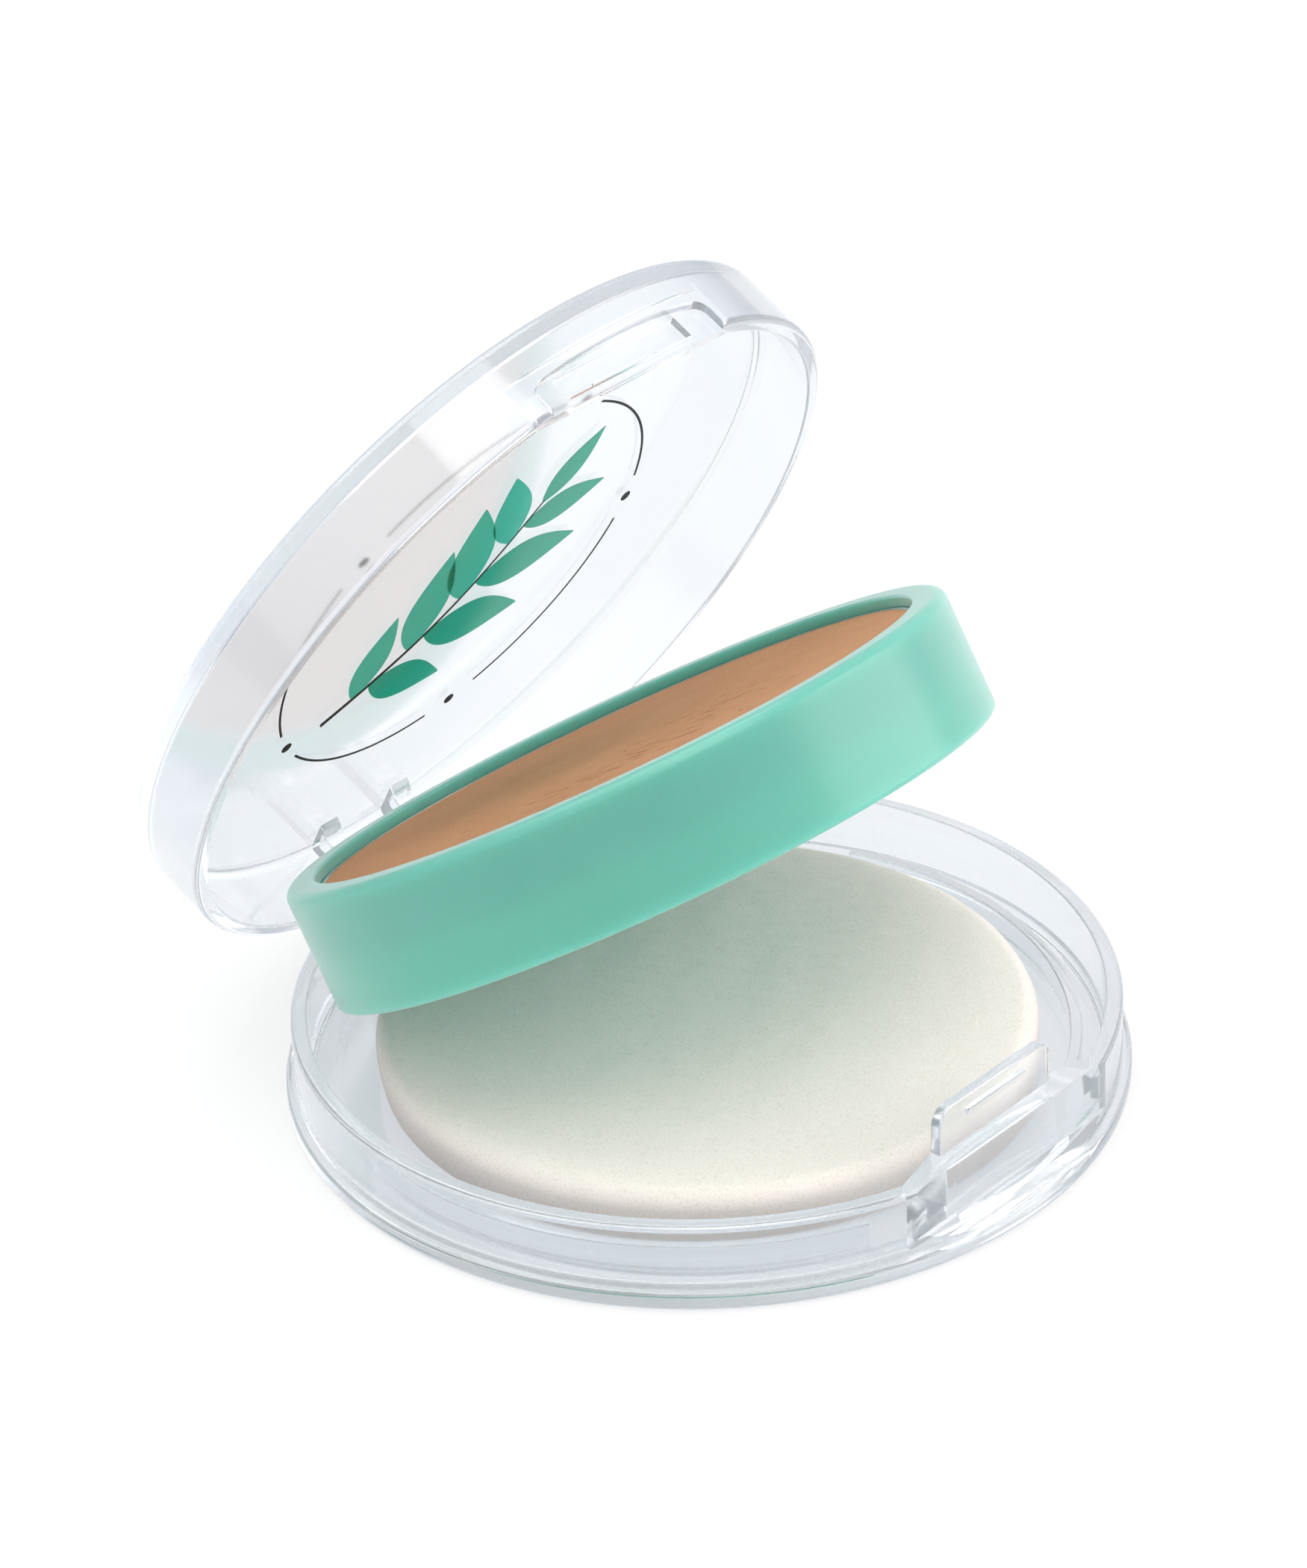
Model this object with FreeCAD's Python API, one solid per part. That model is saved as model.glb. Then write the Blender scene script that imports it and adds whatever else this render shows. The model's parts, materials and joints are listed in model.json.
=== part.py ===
"""Round clear powder compact with a hinged lid, a hinged powder tray and a sponge in the base dish.

Millimetres, +Z up. The origin is the centre of the underside of the base. The thumb notch faces -Y and the
hinge runs along X at the back. Lid and tray are drawn closed and then swung open about the hinge.
"""
import FreeCAD
import Part
import math
import os

from FreeCAD import Vector

# Clear case
case_radius = 32.0
case_wall = 1.3
base_height = 6.9
base_floor = 1.35
foot_overhang = 0.7
foot_height = 1.5
foot_edge_round = 0.6
rim_outer_round = 0.5
rim_inner_round = 0.2
inner_corner_round = 0.5
lid_gap = 0.15
lid_headroom = 1.1
lid_plate = 1.2
lid_edge_round = 0.8

# Ring groove under the base
groove_radius = 28.7
groove_width = 0.6
groove_depth = 0.3

# Front of the case: flat wall, thumb notch and latch
front_cut = 2.0
front_block_depth = 2.4
front_block_splay = 13.0
ledge_height = 2.7
ledge_land = 0.35
scoop_radius = 3.0
scoop_floor = 1.1
tab_half = 6.5
tab_thickness = 0.9
tab_height = 3.7
tab_corner = 1.5
bead_half = 3.2
bead_radius = 0.45
tab_bead_proud = 0.2
tab_bead_drop = 1.3
lid_notch_half = 9.2
lid_notch_height = 3.0
lid_notch_rise = 0.35
lid_notch_corner = 1.1
catch_wall = 1.0
catch_window_half = 6.5
catch_window_height = 2.0
catch_window_depth = 0.6
catch_lip = 0.75
catch_bead_proud = 0.12
catch_bead_rise = 1.1

# Fences on the base floor that locate the tray
fence_height = 2.05
fence_thickness = 0.9
fence_start_angle = 163.0
fence_sweep_angle = 82.0

# Powder tray
tray_height = 10.0
tray_floor_gap = 0.6
tray_skirt = 1.1
tray_deck = 1.1
tray_edge_round = 0.5
tray_lip_round = 0.25
tray_fence_gap = 0.3
tray_latch_gap = 0.25
tray_hinge_gap = 0.4
tray_rim_width = 2.6
powder_drop = 1.0

# Pan, glue and powder
pan_gap = 0.15
pan_wall = 0.35
pan_height = 3.3
pan_corner_round = 0.6
glue_thickness = 0.2
glue_radius = 15.0
powder_below_pan_rim = 0.05

# Sponge
sponge_skirt_gap = 0.9
sponge_deck_gap = 0.45
sponge_crown = 0.55
sponge_edge = 1.5
sponge_side_bulge = 0.35

# Hinge
hinge_inset = 2.25
hinge_drop = 2.85
pin_radius = 0.75
pin_clearance = 0.05
barrel_radius = 1.5
ear_radius = 1.9
hinge_side_gap = 0.3
hinge_swing_gap = 0.4
base_knuckle_half = 2.7
lid_arm_width = 2.0
tray_knuckle_width = 3.1
pin_end_inset = 0.7
pin_inner_end = 0.6
arm_root_inset = 2.4
arm_taper_height = 1.15
sill_gap = 0.25
foot_back_cut = 0.55

# Pose of the lid and the tray
tray_open_angle = 31.4
lid_open_angle = 61.8

# Worked out from the sizes above
inner_radius = case_radius - case_wall
foot_radius = case_radius + foot_overhang
front_flat = case_radius - front_cut
hinge_y = case_radius - hinge_inset
hinge_z = base_height - hinge_drop
tab_back = front_flat - front_block_depth
tab_front = tab_back + tab_thickness
tab_top_z = base_height + tab_height
catch_inside = front_flat - catch_wall
tray_front = tab_back - tray_latch_gap
tray_back = hinge_y - barrel_radius - tray_hinge_gap
tray_radius = (tray_back + tray_front) / 2
tray_shift = (tray_back - tray_front) / 2
skirt_radius = tray_radius - tray_skirt
opening_radius = tray_radius - tray_rim_width
tray_bottom_z = base_floor + tray_floor_gap
tray_top_z = tray_bottom_z + tray_height
lid_rim_z = base_height + lid_gap
lid_inside_z = tray_top_z + lid_headroom
lid_top_z = lid_inside_z + lid_plate
powder_top_z = tray_top_z - powder_drop
pan_top_z = powder_top_z + powder_below_pan_rim
pan_bottom_z = pan_top_z - pan_height
recess_z = pan_bottom_z - glue_thickness
deck_z = recess_z - tray_deck
pan_radius = opening_radius - pan_gap
sponge_radius = skirt_radius - sponge_skirt_gap
sponge_top_z = deck_z - sponge_deck_gap
fence_inner = tray_radius + tray_shift * math.sin(math.radians(fence_start_angle)) + tray_fence_gap
lid_arm_start = base_knuckle_half + hinge_side_gap
lid_arm_end = lid_arm_start + lid_arm_width
tray_knuckle_start = lid_arm_end + hinge_side_gap
tray_knuckle_end = tray_knuckle_start + tray_knuckle_width
window_half = tray_knuckle_end + hinge_side_gap
swing_radius = lid_rim_z - hinge_z - hinge_swing_gap
sill_z = hinge_z - barrel_radius - sill_gap
reach = 3.0 * case_radius

Z_AXIS = Vector(0, 0, 1)
X_AXIS = Vector(1, 0, 0)
HINGE = Vector(0, hinge_y, hinge_z)


def rounded_wire(corners, place):
    """Closed wire through corners (u, v, radius), each corner rounded by a tangent arc of its radius.

    place turns a pair (u, v) into a point in space.
    """
    count = len(corners)
    stations = []
    for index, (u, v, radius) in enumerate(corners):
        before = corners[index - 1]
        after = corners[(index + 1) % count]
        corner = Vector(u, v, 0)
        to_before = (Vector(before[0], before[1], 0) - corner).normalize()
        to_after = (Vector(after[0], after[1], 0) - corner).normalize()
        half_angle = 0.5 * to_before.getAngle(to_after)
        if radius <= 0:
            stations.append((corner, None, corner))
            continue
        back_off = radius / math.tan(half_angle)
        bisector = (to_before + to_after).normalize()
        centre = corner + bisector * (radius / math.sin(half_angle))
        middle = centre - bisector * radius
        stations.append((corner + to_before * back_off, middle, corner + to_after * back_off))
    edges = []
    for index, (start, middle, end) in enumerate(stations):
        if middle is not None:
            arc = Part.Arc(place(start.x, start.y), place(middle.x, middle.y), place(end.x, end.y))
            edges.append(arc.toShape())
        following = stations[(index + 1) % count][0]
        if (following - end).Length > 1e-6:
            edges.append(Part.LineSegment(place(end.x, end.y), place(following.x, following.y)).toShape())
    return Part.Wire(edges)


def turned(corners, centre_y=0.0):
    """Solid of revolution about a vertical axis at centre_y, from a half section of (radius, z, rounding)."""
    wire = rounded_wire(corners, lambda r, z: Vector(r, centre_y, z))
    return Part.Face(wire).revolve(Vector(0, centre_y, 0), Z_AXIS, 360)


def plate_xz(corners, y_low, y_high):
    """Plate with an outline of (x, z, rounding), from y_low to y_high."""
    wire = rounded_wire(corners, lambda x, z: Vector(x, y_low, z))
    return Part.Face(wire).extrude(Vector(0, y_high - y_low, 0))


def plate_xy(corners, z_low, z_high):
    """Plate with an outline of (x, y, rounding), from z_low to z_high."""
    wire = rounded_wire(corners, lambda x, y: Vector(x, y, z_low))
    return Part.Face(wire).extrude(Vector(0, 0, z_high - z_low))


def plate_yz(corners, x_low, x_high):
    """Plate with an outline of (y, z, rounding), from x_low to x_high."""
    wire = rounded_wire(corners, lambda y, z: Vector(x_low, y, z))
    return Part.Face(wire).extrude(Vector(x_high - x_low, 0, 0))


def block(x_low, x_high, y_low, y_high, z_low, z_high):
    """Rectangular block between its lowest and highest corners."""
    return Part.makeBox(x_high - x_low, y_high - y_low, z_high - z_low, Vector(x_low, y_low, z_low))


def hinge_rod(radius, x_low, x_high):
    """Round bar on the hinge axis."""
    return Part.makeCylinder(radius, x_high - x_low, Vector(x_low, hinge_y, hinge_z), X_AXIS)


def bead(y_axis, z_axis):
    """Straight half-sunk latch bead along X with round ends."""
    bar = Part.makeCylinder(bead_radius, 2 * bead_half, Vector(-bead_half, y_axis, z_axis), X_AXIS)
    ends = [Part.makeSphere(bead_radius, Vector(side * bead_half, y_axis, z_axis)) for side in (-1, 1)]
    return bar.fuse(ends)


def both_sides(make, x_low, x_high):
    """The solid make(x_low, x_high) and its twin on the other side of the middle plane."""
    return [make(x_low, x_high), make(-x_high, -x_low)]


def whole(shape):
    """One clean solid from the result of joining and cutting."""
    clean = shape.removeSplitter()
    if len(clean.Solids) != 1:
        raise ValueError("piece came apart into %d solids" % len(clean.Solids))
    return clean.Solids[0]


def opened(shape, angle):
    """The shape swung open by angle degrees about the hinge, so that its front rises."""
    swung = shape.copy()
    swung.rotate(HINGE, X_AXIS, -angle)
    return swung


def base_front():
    """Solid front wall behind the flat, its inner face splayed back to the round wall at both ends."""
    splay_end = tab_half + front_block_depth / math.tan(math.radians(front_block_splay))
    outline = [
        (-splay_end, -front_flat, 0),
        (splay_end, -front_flat, 0),
        (tab_half, -tab_back, 0),
        (-tab_half, -tab_back, 0),
    ]
    raw = plate_xy(outline, base_floor / 2, base_height)
    return raw.common(Part.makeCylinder(case_radius - case_wall / 2, base_height))


def latch_tab():
    """Upright latch tab on the front wall, with a bead across its front face."""
    outline = [
        (-tab_half, base_height - case_wall, 0),
        (tab_half, base_height - case_wall, 0),
        (tab_half, tab_top_z, tab_corner),
        (-tab_half, tab_top_z, tab_corner),
    ]
    tab = plate_xz(outline, -tab_front, -tab_back)
    bead_y = -(tab_front + tab_bead_proud - bead_radius)
    return tab.fuse(bead(bead_y, tab_top_z - tab_bead_drop))


def fences():
    """Two curved fences on the floor, mirrored left and right."""
    low = base_floor / 2
    height = base_floor + fence_height - low
    foot = Vector(0, 0, low)
    fence_outer = fence_inner + fence_thickness
    made = []
    for start in (fence_start_angle, 180.0 - fence_start_angle - fence_sweep_angle):
        outer = Part.makeCylinder(fence_outer, height, foot, Z_AXIS, fence_sweep_angle)
        inner = Part.makeCylinder(fence_inner, height, foot, Z_AXIS, fence_sweep_angle)
        fence = outer.cut(inner)
        fence.rotate(foot, Z_AXIS, start)
        made.append(fence)
    return made


def base_knuckles():
    """Ears beside the hinge window and the knuckle in its middle, all standing on the floor."""
    limit = Part.makeCylinder(case_radius, base_height)
    low = base_floor / 2

    def post(radius, x_low, x_high):
        upright = block(x_low, x_high, hinge_y - radius, hinge_y + radius, low, hinge_z)
        return upright.fuse(hinge_rod(radius, x_low, x_high))

    ear_end = math.sqrt(case_radius ** 2 - (hinge_y - ear_radius) ** 2)
    ears = both_sides(lambda a, b: post(ear_radius, a, b).common(limit), window_half, ear_end)
    return ears + [post(barrel_radius, -base_knuckle_half, base_knuckle_half).common(limit)]


def make_base():
    """Base dish: turned shell with the notch, latch, fences and hinge knuckles."""
    shell = turned([
        (0, 0, 0),
        (foot_radius, 0, foot_edge_round),
        (foot_radius, foot_height, foot_overhang / 2),
        (case_radius, foot_height, 0),
        (case_radius, base_height, rim_outer_round),
        (inner_radius, base_height, rim_inner_round),
        (inner_radius, base_floor, inner_corner_round),
        (0, base_floor, 0),
    ])
    groove = Part.makeCylinder(groove_radius + groove_width / 2, groove_depth)
    groove = groove.cut(Part.makeCylinder(groove_radius - groove_width / 2, groove_depth))
    body = shell.fuse([base_front()] + fences())
    scoop_z = scoop_floor + scoop_radius
    scoop_y = -front_flat - ledge_land - math.sqrt(scoop_radius ** 2 - (scoop_z - ledge_height) ** 2)
    scoop = Part.makeCylinder(scoop_radius, 2 * reach, Vector(-reach, scoop_y, scoop_z), X_AXIS)
    notch = block(-reach, reach, -reach, -front_flat, ledge_height, reach)
    window = block(-window_half, window_half, hinge_y - ear_radius, reach, sill_z, reach)
    swing = block(-foot_radius, foot_radius, hinge_y, reach, foot_height - foot_back_cut, reach)
    swing = swing.cut(hinge_rod(swing_radius, -case_radius, case_radius))
    body = body.cut([groove, notch, scoop, window, swing])
    body = body.fuse([latch_tab()] + base_knuckles())
    bore = hinge_rod(pin_radius, pin_inner_end, case_radius)
    return whole(body.cut([bore, hinge_rod(pin_radius, -case_radius, -pin_inner_end)]))


def lid_arm(x_low, x_high):
    """Arm along the back wall of the lid, from its plate down to its barrel on the hinge."""
    root_y = hinge_y - arm_root_inset
    front_y = hinge_y - barrel_radius
    back_y = hinge_y + barrel_radius
    root_z = lid_inside_z + lid_plate / 2
    outline = [
        (front_y, hinge_z, 0),
        (back_y, hinge_z, 0),
        (back_y, root_z, 0),
        (root_y, root_z, 0),
        (root_y, lid_inside_z, 0),
        (front_y, lid_inside_z - arm_taper_height, 0),
    ]
    arm = plate_yz(outline, x_low, x_high).fuse(hinge_rod(barrel_radius, x_low, x_high))
    return arm.common(Part.makeCylinder(case_radius - case_wall / 2, reach))


def make_lid():
    """Lid: turned cap with the thumb notch, the catch wall and the hinge arms, drawn closed."""
    shell = turned([
        (0, lid_inside_z, 0),
        (inner_radius, lid_inside_z, inner_corner_round),
        (inner_radius, lid_rim_z, rim_inner_round),
        (case_radius, lid_rim_z, rim_outer_round),
        (case_radius, lid_top_z, lid_edge_round),
        (0, lid_top_z, 0),
    ])
    notch_top = lid_rim_z + lid_notch_height
    pocket_half = lid_notch_half + catch_wall
    pocket = block(-pocket_half, pocket_half, -case_radius, -catch_inside, lid_rim_z, notch_top + catch_wall)
    pocket = pocket.common(Part.makeCylinder(case_radius - case_wall / 2, reach))
    catch = bead(-(catch_inside - catch_bead_proud + bead_radius), lid_rim_z + catch_bead_rise)
    arch_radius = (lid_notch_half - 2 * lid_notch_corner) * lid_notch_half / lid_notch_rise
    notch = plate_xz([
        (-lid_notch_half, lid_rim_z - lid_gap, 0),
        (lid_notch_half, lid_rim_z - lid_gap, 0),
        (lid_notch_half, notch_top - lid_notch_rise, lid_notch_corner),
        (0, notch_top, arch_radius),
        (-lid_notch_half, notch_top - lid_notch_rise, lid_notch_corner),
    ], -reach, -front_flat)
    window_low = lid_rim_z + catch_lip
    window = block(-catch_window_half, catch_window_half, -reach, catch_window_depth - front_flat,
                   window_low, window_low + catch_window_height)
    arms = both_sides(lid_arm, lid_arm_start, lid_arm_end)
    body = shell.fuse([pocket, catch] + arms).cut([notch, window])
    return whole(body.cut(hinge_rod(pin_radius + pin_clearance, -case_radius, case_radius)))


def make_tray():
    """Powder tray: pan recess above, hollow for the sponge below and two hinge knuckles at the back."""
    shell = turned([
        (0, deck_z, 0),
        (skirt_radius, deck_z, tray_edge_round),
        (skirt_radius, tray_bottom_z, tray_lip_round),
        (tray_radius, tray_bottom_z, tray_edge_round),
        (tray_radius, tray_top_z, tray_edge_round),
        (opening_radius, tray_top_z, tray_lip_round),
        (opening_radius, recess_z, tray_lip_round),
        (0, recess_z, 0),
    ], tray_shift)
    hollow = Part.makeCylinder(skirt_radius, deck_z - tray_bottom_z, Vector(0, tray_shift, tray_bottom_z))

    def knuckle(x_low, x_high):
        strap = block(x_low, x_high, 0, hinge_y, hinge_z - barrel_radius, hinge_z + barrel_radius)
        return strap.cut(hollow).fuse(hinge_rod(barrel_radius, x_low, x_high))

    body = shell.fuse(both_sides(knuckle, tray_knuckle_start, tray_knuckle_end))
    return whole(body.cut(hinge_rod(pin_radius + pin_clearance, -case_radius, case_radius)))


def make_pan():
    """Thin drawn metal pan, open at the top."""
    inner = pan_radius - pan_wall
    return whole(turned([
        (0, pan_bottom_z, 0),
        (pan_radius, pan_bottom_z, pan_corner_round),
        (pan_radius, pan_top_z, 0),
        (inner, pan_top_z, 0),
        (inner, pan_bottom_z + pan_wall, pan_corner_round - pan_wall),
        (0, pan_bottom_z + pan_wall, 0),
    ], tray_shift))


def make_powder():
    """Pressed powder filling the pan to just under its rim."""
    edge = pan_radius - pan_wall
    return whole(turned([
        (0, pan_bottom_z + pan_wall, 0),
        (edge, pan_bottom_z + pan_wall, pan_corner_round - pan_wall),
        (edge, powder_top_z, 0),
        (0, powder_top_z, 0),
    ], tray_shift))


def make_glue():
    """Flat spot of glue between the tray and the pan."""
    return Part.makeCylinder(glue_radius, glue_thickness, Vector(0, tray_shift, recess_z))


def make_sponge():
    """Round cushion with a flat underside, bulging side, rounded edge and crowned top."""
    low = base_floor
    high = sponge_top_z
    foot = sponge_radius - sponge_side_bulge
    shoulder = high - sponge_crown
    bottom_edge = Vector(foot, 0, low)
    side = Vector(sponge_radius, 0, low + (shoulder - low - sponge_edge) / 2)
    side_top = Vector(foot, 0, shoulder - sponge_edge)
    turn = sponge_edge * (1 - math.sqrt(0.5))
    edge_middle = Vector(foot - turn, 0, shoulder - turn)
    crown_edge = foot - sponge_edge
    edge_top = Vector(crown_edge, 0, shoulder)
    crown_radius = (crown_edge ** 2 + sponge_crown ** 2) / (2 * sponge_crown)
    crown_fall = crown_radius - math.sqrt(crown_radius ** 2 - crown_edge ** 2 / 4)
    crown_middle = Vector(crown_edge / 2, 0, high - crown_fall)
    top = Vector(0, 0, high)
    bottom = Vector(0, 0, low)
    section = Part.Wire([
        Part.LineSegment(bottom, bottom_edge).toShape(),
        Part.Arc(bottom_edge, side, side_top).toShape(),
        Part.Arc(side_top, edge_middle, edge_top).toShape(),
        Part.Arc(edge_top, crown_middle, top).toShape(),
        Part.LineSegment(top, bottom).toShape(),
    ])
    return whole(Part.Face(section).revolve(Vector(0, 0, 0), Z_AXIS, 360))


def pin_outer_end():
    """Distance from the middle plane to the outer end of a pin, just inside the round wall."""
    return math.sqrt(case_radius ** 2 - hinge_y ** 2) - pin_end_inset


def main():
    """Builds each piece where it lies and writes one file for each."""
    pins = both_sides(lambda a, b: hinge_rod(pin_radius, a, b), pin_inner_end, pin_outer_end())
    pieces = {
        "base_shell": make_base(),
        "sponge": make_sponge(),
        "hinge_pin_left": pins[1],
        "hinge_pin_right": pins[0],
        "tray_shell": opened(make_tray(), tray_open_angle),
        "pan_glue": opened(make_glue(), tray_open_angle),
        "powder_pan": opened(make_pan(), tray_open_angle),
        "powder_cake": opened(make_powder(), tray_open_angle),
        "lid_shell": opened(make_lid(), lid_open_angle),
    }
    os.makedirs("parts", exist_ok=True)
    for name, shape in pieces.items():
        if not shape.isValid():
            raise ValueError(name + " is not a valid solid")
        shape.exportStep(os.path.join("parts", name + ".step"))
        box = shape.BoundBox
        print("%-16s %9.1f mm3  x %.2f..%.2f  y %.2f..%.2f  z %.2f..%.2f" % (
            name, shape.Volume, box.XMin, box.XMax, box.YMin, box.YMax, box.ZMin, box.ZMax))


main()
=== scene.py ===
"""Looks of a clear double-deck powder compact: a hinged lid, a hinged powder tray and a sponge in the base dish.

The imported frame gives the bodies, the hinge and the pose. Each moulding is worked out again as a fine skin, in
millimetres and in the closed pose, then swung open to its rest pose and scaled to metres. The thumb notch faces
-Y, the hinge runs along X at the back and +Z is up.
"""
import json
import logging
import math
from dataclasses import dataclass
from enum import Enum
from typing import Iterable, Optional, Sequence

import bmesh
import bpy
import numpy as np
from mathutils import Matrix, Vector


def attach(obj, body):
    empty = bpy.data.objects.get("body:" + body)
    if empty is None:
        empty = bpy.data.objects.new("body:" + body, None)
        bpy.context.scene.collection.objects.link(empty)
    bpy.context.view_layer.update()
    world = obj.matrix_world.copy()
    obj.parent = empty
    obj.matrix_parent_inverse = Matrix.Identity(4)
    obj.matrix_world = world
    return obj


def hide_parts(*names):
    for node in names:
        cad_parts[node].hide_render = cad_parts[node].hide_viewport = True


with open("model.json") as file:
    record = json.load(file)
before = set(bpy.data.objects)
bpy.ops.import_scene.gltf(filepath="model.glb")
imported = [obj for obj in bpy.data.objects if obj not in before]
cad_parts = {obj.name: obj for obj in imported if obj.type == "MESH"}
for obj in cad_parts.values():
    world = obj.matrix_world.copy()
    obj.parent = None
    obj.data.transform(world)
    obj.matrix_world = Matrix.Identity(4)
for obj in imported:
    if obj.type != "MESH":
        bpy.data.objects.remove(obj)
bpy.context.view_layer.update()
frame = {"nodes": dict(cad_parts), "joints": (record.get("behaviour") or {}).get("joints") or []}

LOG = logging.getLogger("compact")

MM = 0.001

# Fineness of the skins: steps round a circle, and lengths in millimetres.
ROUND_STEPS = 360
ROD_STEPS = 64
BEAD_STEPS = 32
BEAD_ARC_POINTS = 25
ARC_STEP = math.radians(7.5)
ARC_LEAST_STEPS = 6
EDGE_STEPS = 4
GUARD = 0.04
MERGE_DISTANCE = 1e-4
SHARP_ANGLE = math.radians(33)

# A length past everything, for tools that cut right through.
FAR = 96.0

# Settings of the mix, range and math nodes, and the numbers of their sockets.
RGBA = {"data_type": "RGBA"}
SMOOTH = {"interpolation_type": "SMOOTHSTEP"}
LARGER = {"operation": "MAXIMUM"}
MIX_LOW, MIX_HIGH, MIX_OUT = 6, 7, 2
FLOAT_LOW, FLOAT_HIGH = 2, 3
FROM_LOW, FROM_HIGH, TO_LOW, TO_HIGH = 1, 2, 3, 4

# Attribute of the powder that holds its drag marks; it also places the painted shade in them.
CREASE_SHADE = "scar"

Pair = tuple[float, float]
Triple = tuple[float, float, float]
Colour = tuple[float, float, float, float]
Tree = bpy.types.NodeTree
Socket = bpy.types.NodeSocket


class Axis(Enum):
    """Direction that a plate is extruded along; its value orders (u, v, along) as x, y, z."""

    X = (2, 0, 1)
    Y = (0, 2, 1)
    Z = (0, 1, 2)


class Join(Enum):
    """How one solid is worked into another."""

    ADD = "UNION"
    CUT = "DIFFERENCE"
    KEEP = "INTERSECT"


class Body(Enum):
    """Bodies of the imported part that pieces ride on."""

    BASE = "base"
    TRAY = "tray"
    LID = "lid"


class Ray(Enum):
    """Kinds of ray that see the floor and the room as a backdrop, those straight from the camera first."""

    CAMERA = "Is Camera Ray"
    GLOSSY = "Is Glossy Ray"
    TRANSMISSION = "Is Transmission Ray"


@dataclass
class Skin:
    """Closed surface in millimetres: points, and blocks of faces as arrays of corner indices."""

    points: np.ndarray
    blocks: list[np.ndarray]

    def outward(self) -> "Skin":
        """Turns the faces outwards, told by the sign of the enclosed volume.

        Returns:
            The skin itself, with every face reversed if the volume of the fans over its faces was negative.
        """
        volume = 0.0
        for block in self.blocks:
            first = self.points[block[:, :1]]
            volume += float(np.sum(first * np.cross(self.points[block[:, 1:-1]], self.points[block[:, 2:]])))
        if volume < 0:
            self.blocks = [block[:, ::-1] for block in self.blocks]
        return self

    def moved(self, order: tuple[int, int, int], offset: Sequence[float]) -> "Skin":
        """Reorders the axes of the points and shifts them.

        Args:
            order: Which old axis becomes x, y and z.
            offset: Shift in millimetres.

        Returns:
            A new skin, facing outwards.
        """
        return Skin(self.points[:, list(order)] + np.array(offset), list(self.blocks)).outward()

    def mesh(self, name: str) -> bpy.types.Mesh:
        """Puts the skin into a mesh.

        Args:
            name: Name of the mesh.

        Returns:
            The mesh, still in millimetres.
        """
        made = bpy.data.meshes.new(name)
        faces = [face for block in self.blocks for face in block.tolist()]
        made.from_pydata(self.points.tolist(), [], faces)
        made.update()
        return made


def gathered(skins: Iterable[Skin]) -> Skin:
    """Several separate skins as one.

    Args:
        skins: Skins that don't touch each other.

    Returns:
        One skin with the points in a row and the face indices shifted to match.
    """
    points, blocks, count = [], [], 0
    for skin in skins:
        points.append(skin.points)
        blocks += [block + count for block in skin.blocks]
        count += len(skin.points)
    return Skin(np.concatenate(points), blocks)


def unit(vector: np.ndarray) -> np.ndarray:
    """The vector scaled to length one."""
    return vector / np.linalg.norm(vector)


def rounded(corners: Sequence[Triple], closed: bool = True) -> np.ndarray:
    """Outline through corners, each rounded by a tangent arc.

    An arc from a to b about its centre is centre + (sin((1-s)w) a + sin(sw) b) / sin(w), where w is the angle
    it turns through. A guard point stands just outside each arc on both runs, so that smooth shading doesn't
    spread over the flats beside it.

    Args:
        corners: (u, v, radius) of each corner.
        closed: False if the outline ends at its first and last corner.

    Returns:
        Array of (u, v) points.
    """
    last = len(corners) - 1
    stretches = []
    for index, (u, v, radius) in enumerate(corners):
        corner = np.array((u, v))
        if radius <= 0 or (not closed and index in (0, last)):
            stretches.append(corner[None])
            continue
        before = unit(np.array(corners[index - 1][:2]) - corner)
        after = unit(np.array(corners[(index + 1) % len(corners)][:2]) - corner)
        half = 0.5 * math.acos(float(np.clip(before @ after, -1, 1)))
        centre = corner + unit(before + after) * radius / math.sin(half)
        start = corner + before * radius / math.tan(half)
        end = corner + after * radius / math.tan(half)
        turn = math.pi - 2 * half
        steps = max(ARC_LEAST_STEPS, math.ceil(turn / ARC_STEP))
        share = np.linspace(0, 1, steps + 1)[:, None]
        sweep = np.sin((1 - share) * turn) * (start - centre) + np.sin(share * turn) * (end - centre)
        arc = centre + sweep / math.sin(turn)
        stretches.append(np.concatenate([(start + GUARD * before)[None], arc, (end + GUARD * after)[None]]))
    return np.concatenate(stretches)


def circle(radius: float, u: float = 0.0, v: float = 0.0, steps: int = ROD_STEPS) -> np.ndarray:
    """Points (u + radius cos t, v + radius sin t) for evenly spaced turns t."""
    turn = np.linspace(0, 2 * math.pi, steps, endpoint=False)
    return np.stack([u + radius * np.cos(turn), v + radius * np.sin(turn)], axis=-1)


def rectangle(u_low: float, u_high: float, v_low: float, v_high: float) -> np.ndarray:
    """Four corners of an upright rectangle."""
    return np.array([(u_low, v_low), (u_high, v_low), (u_high, v_high), (u_low, v_high)])


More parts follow.
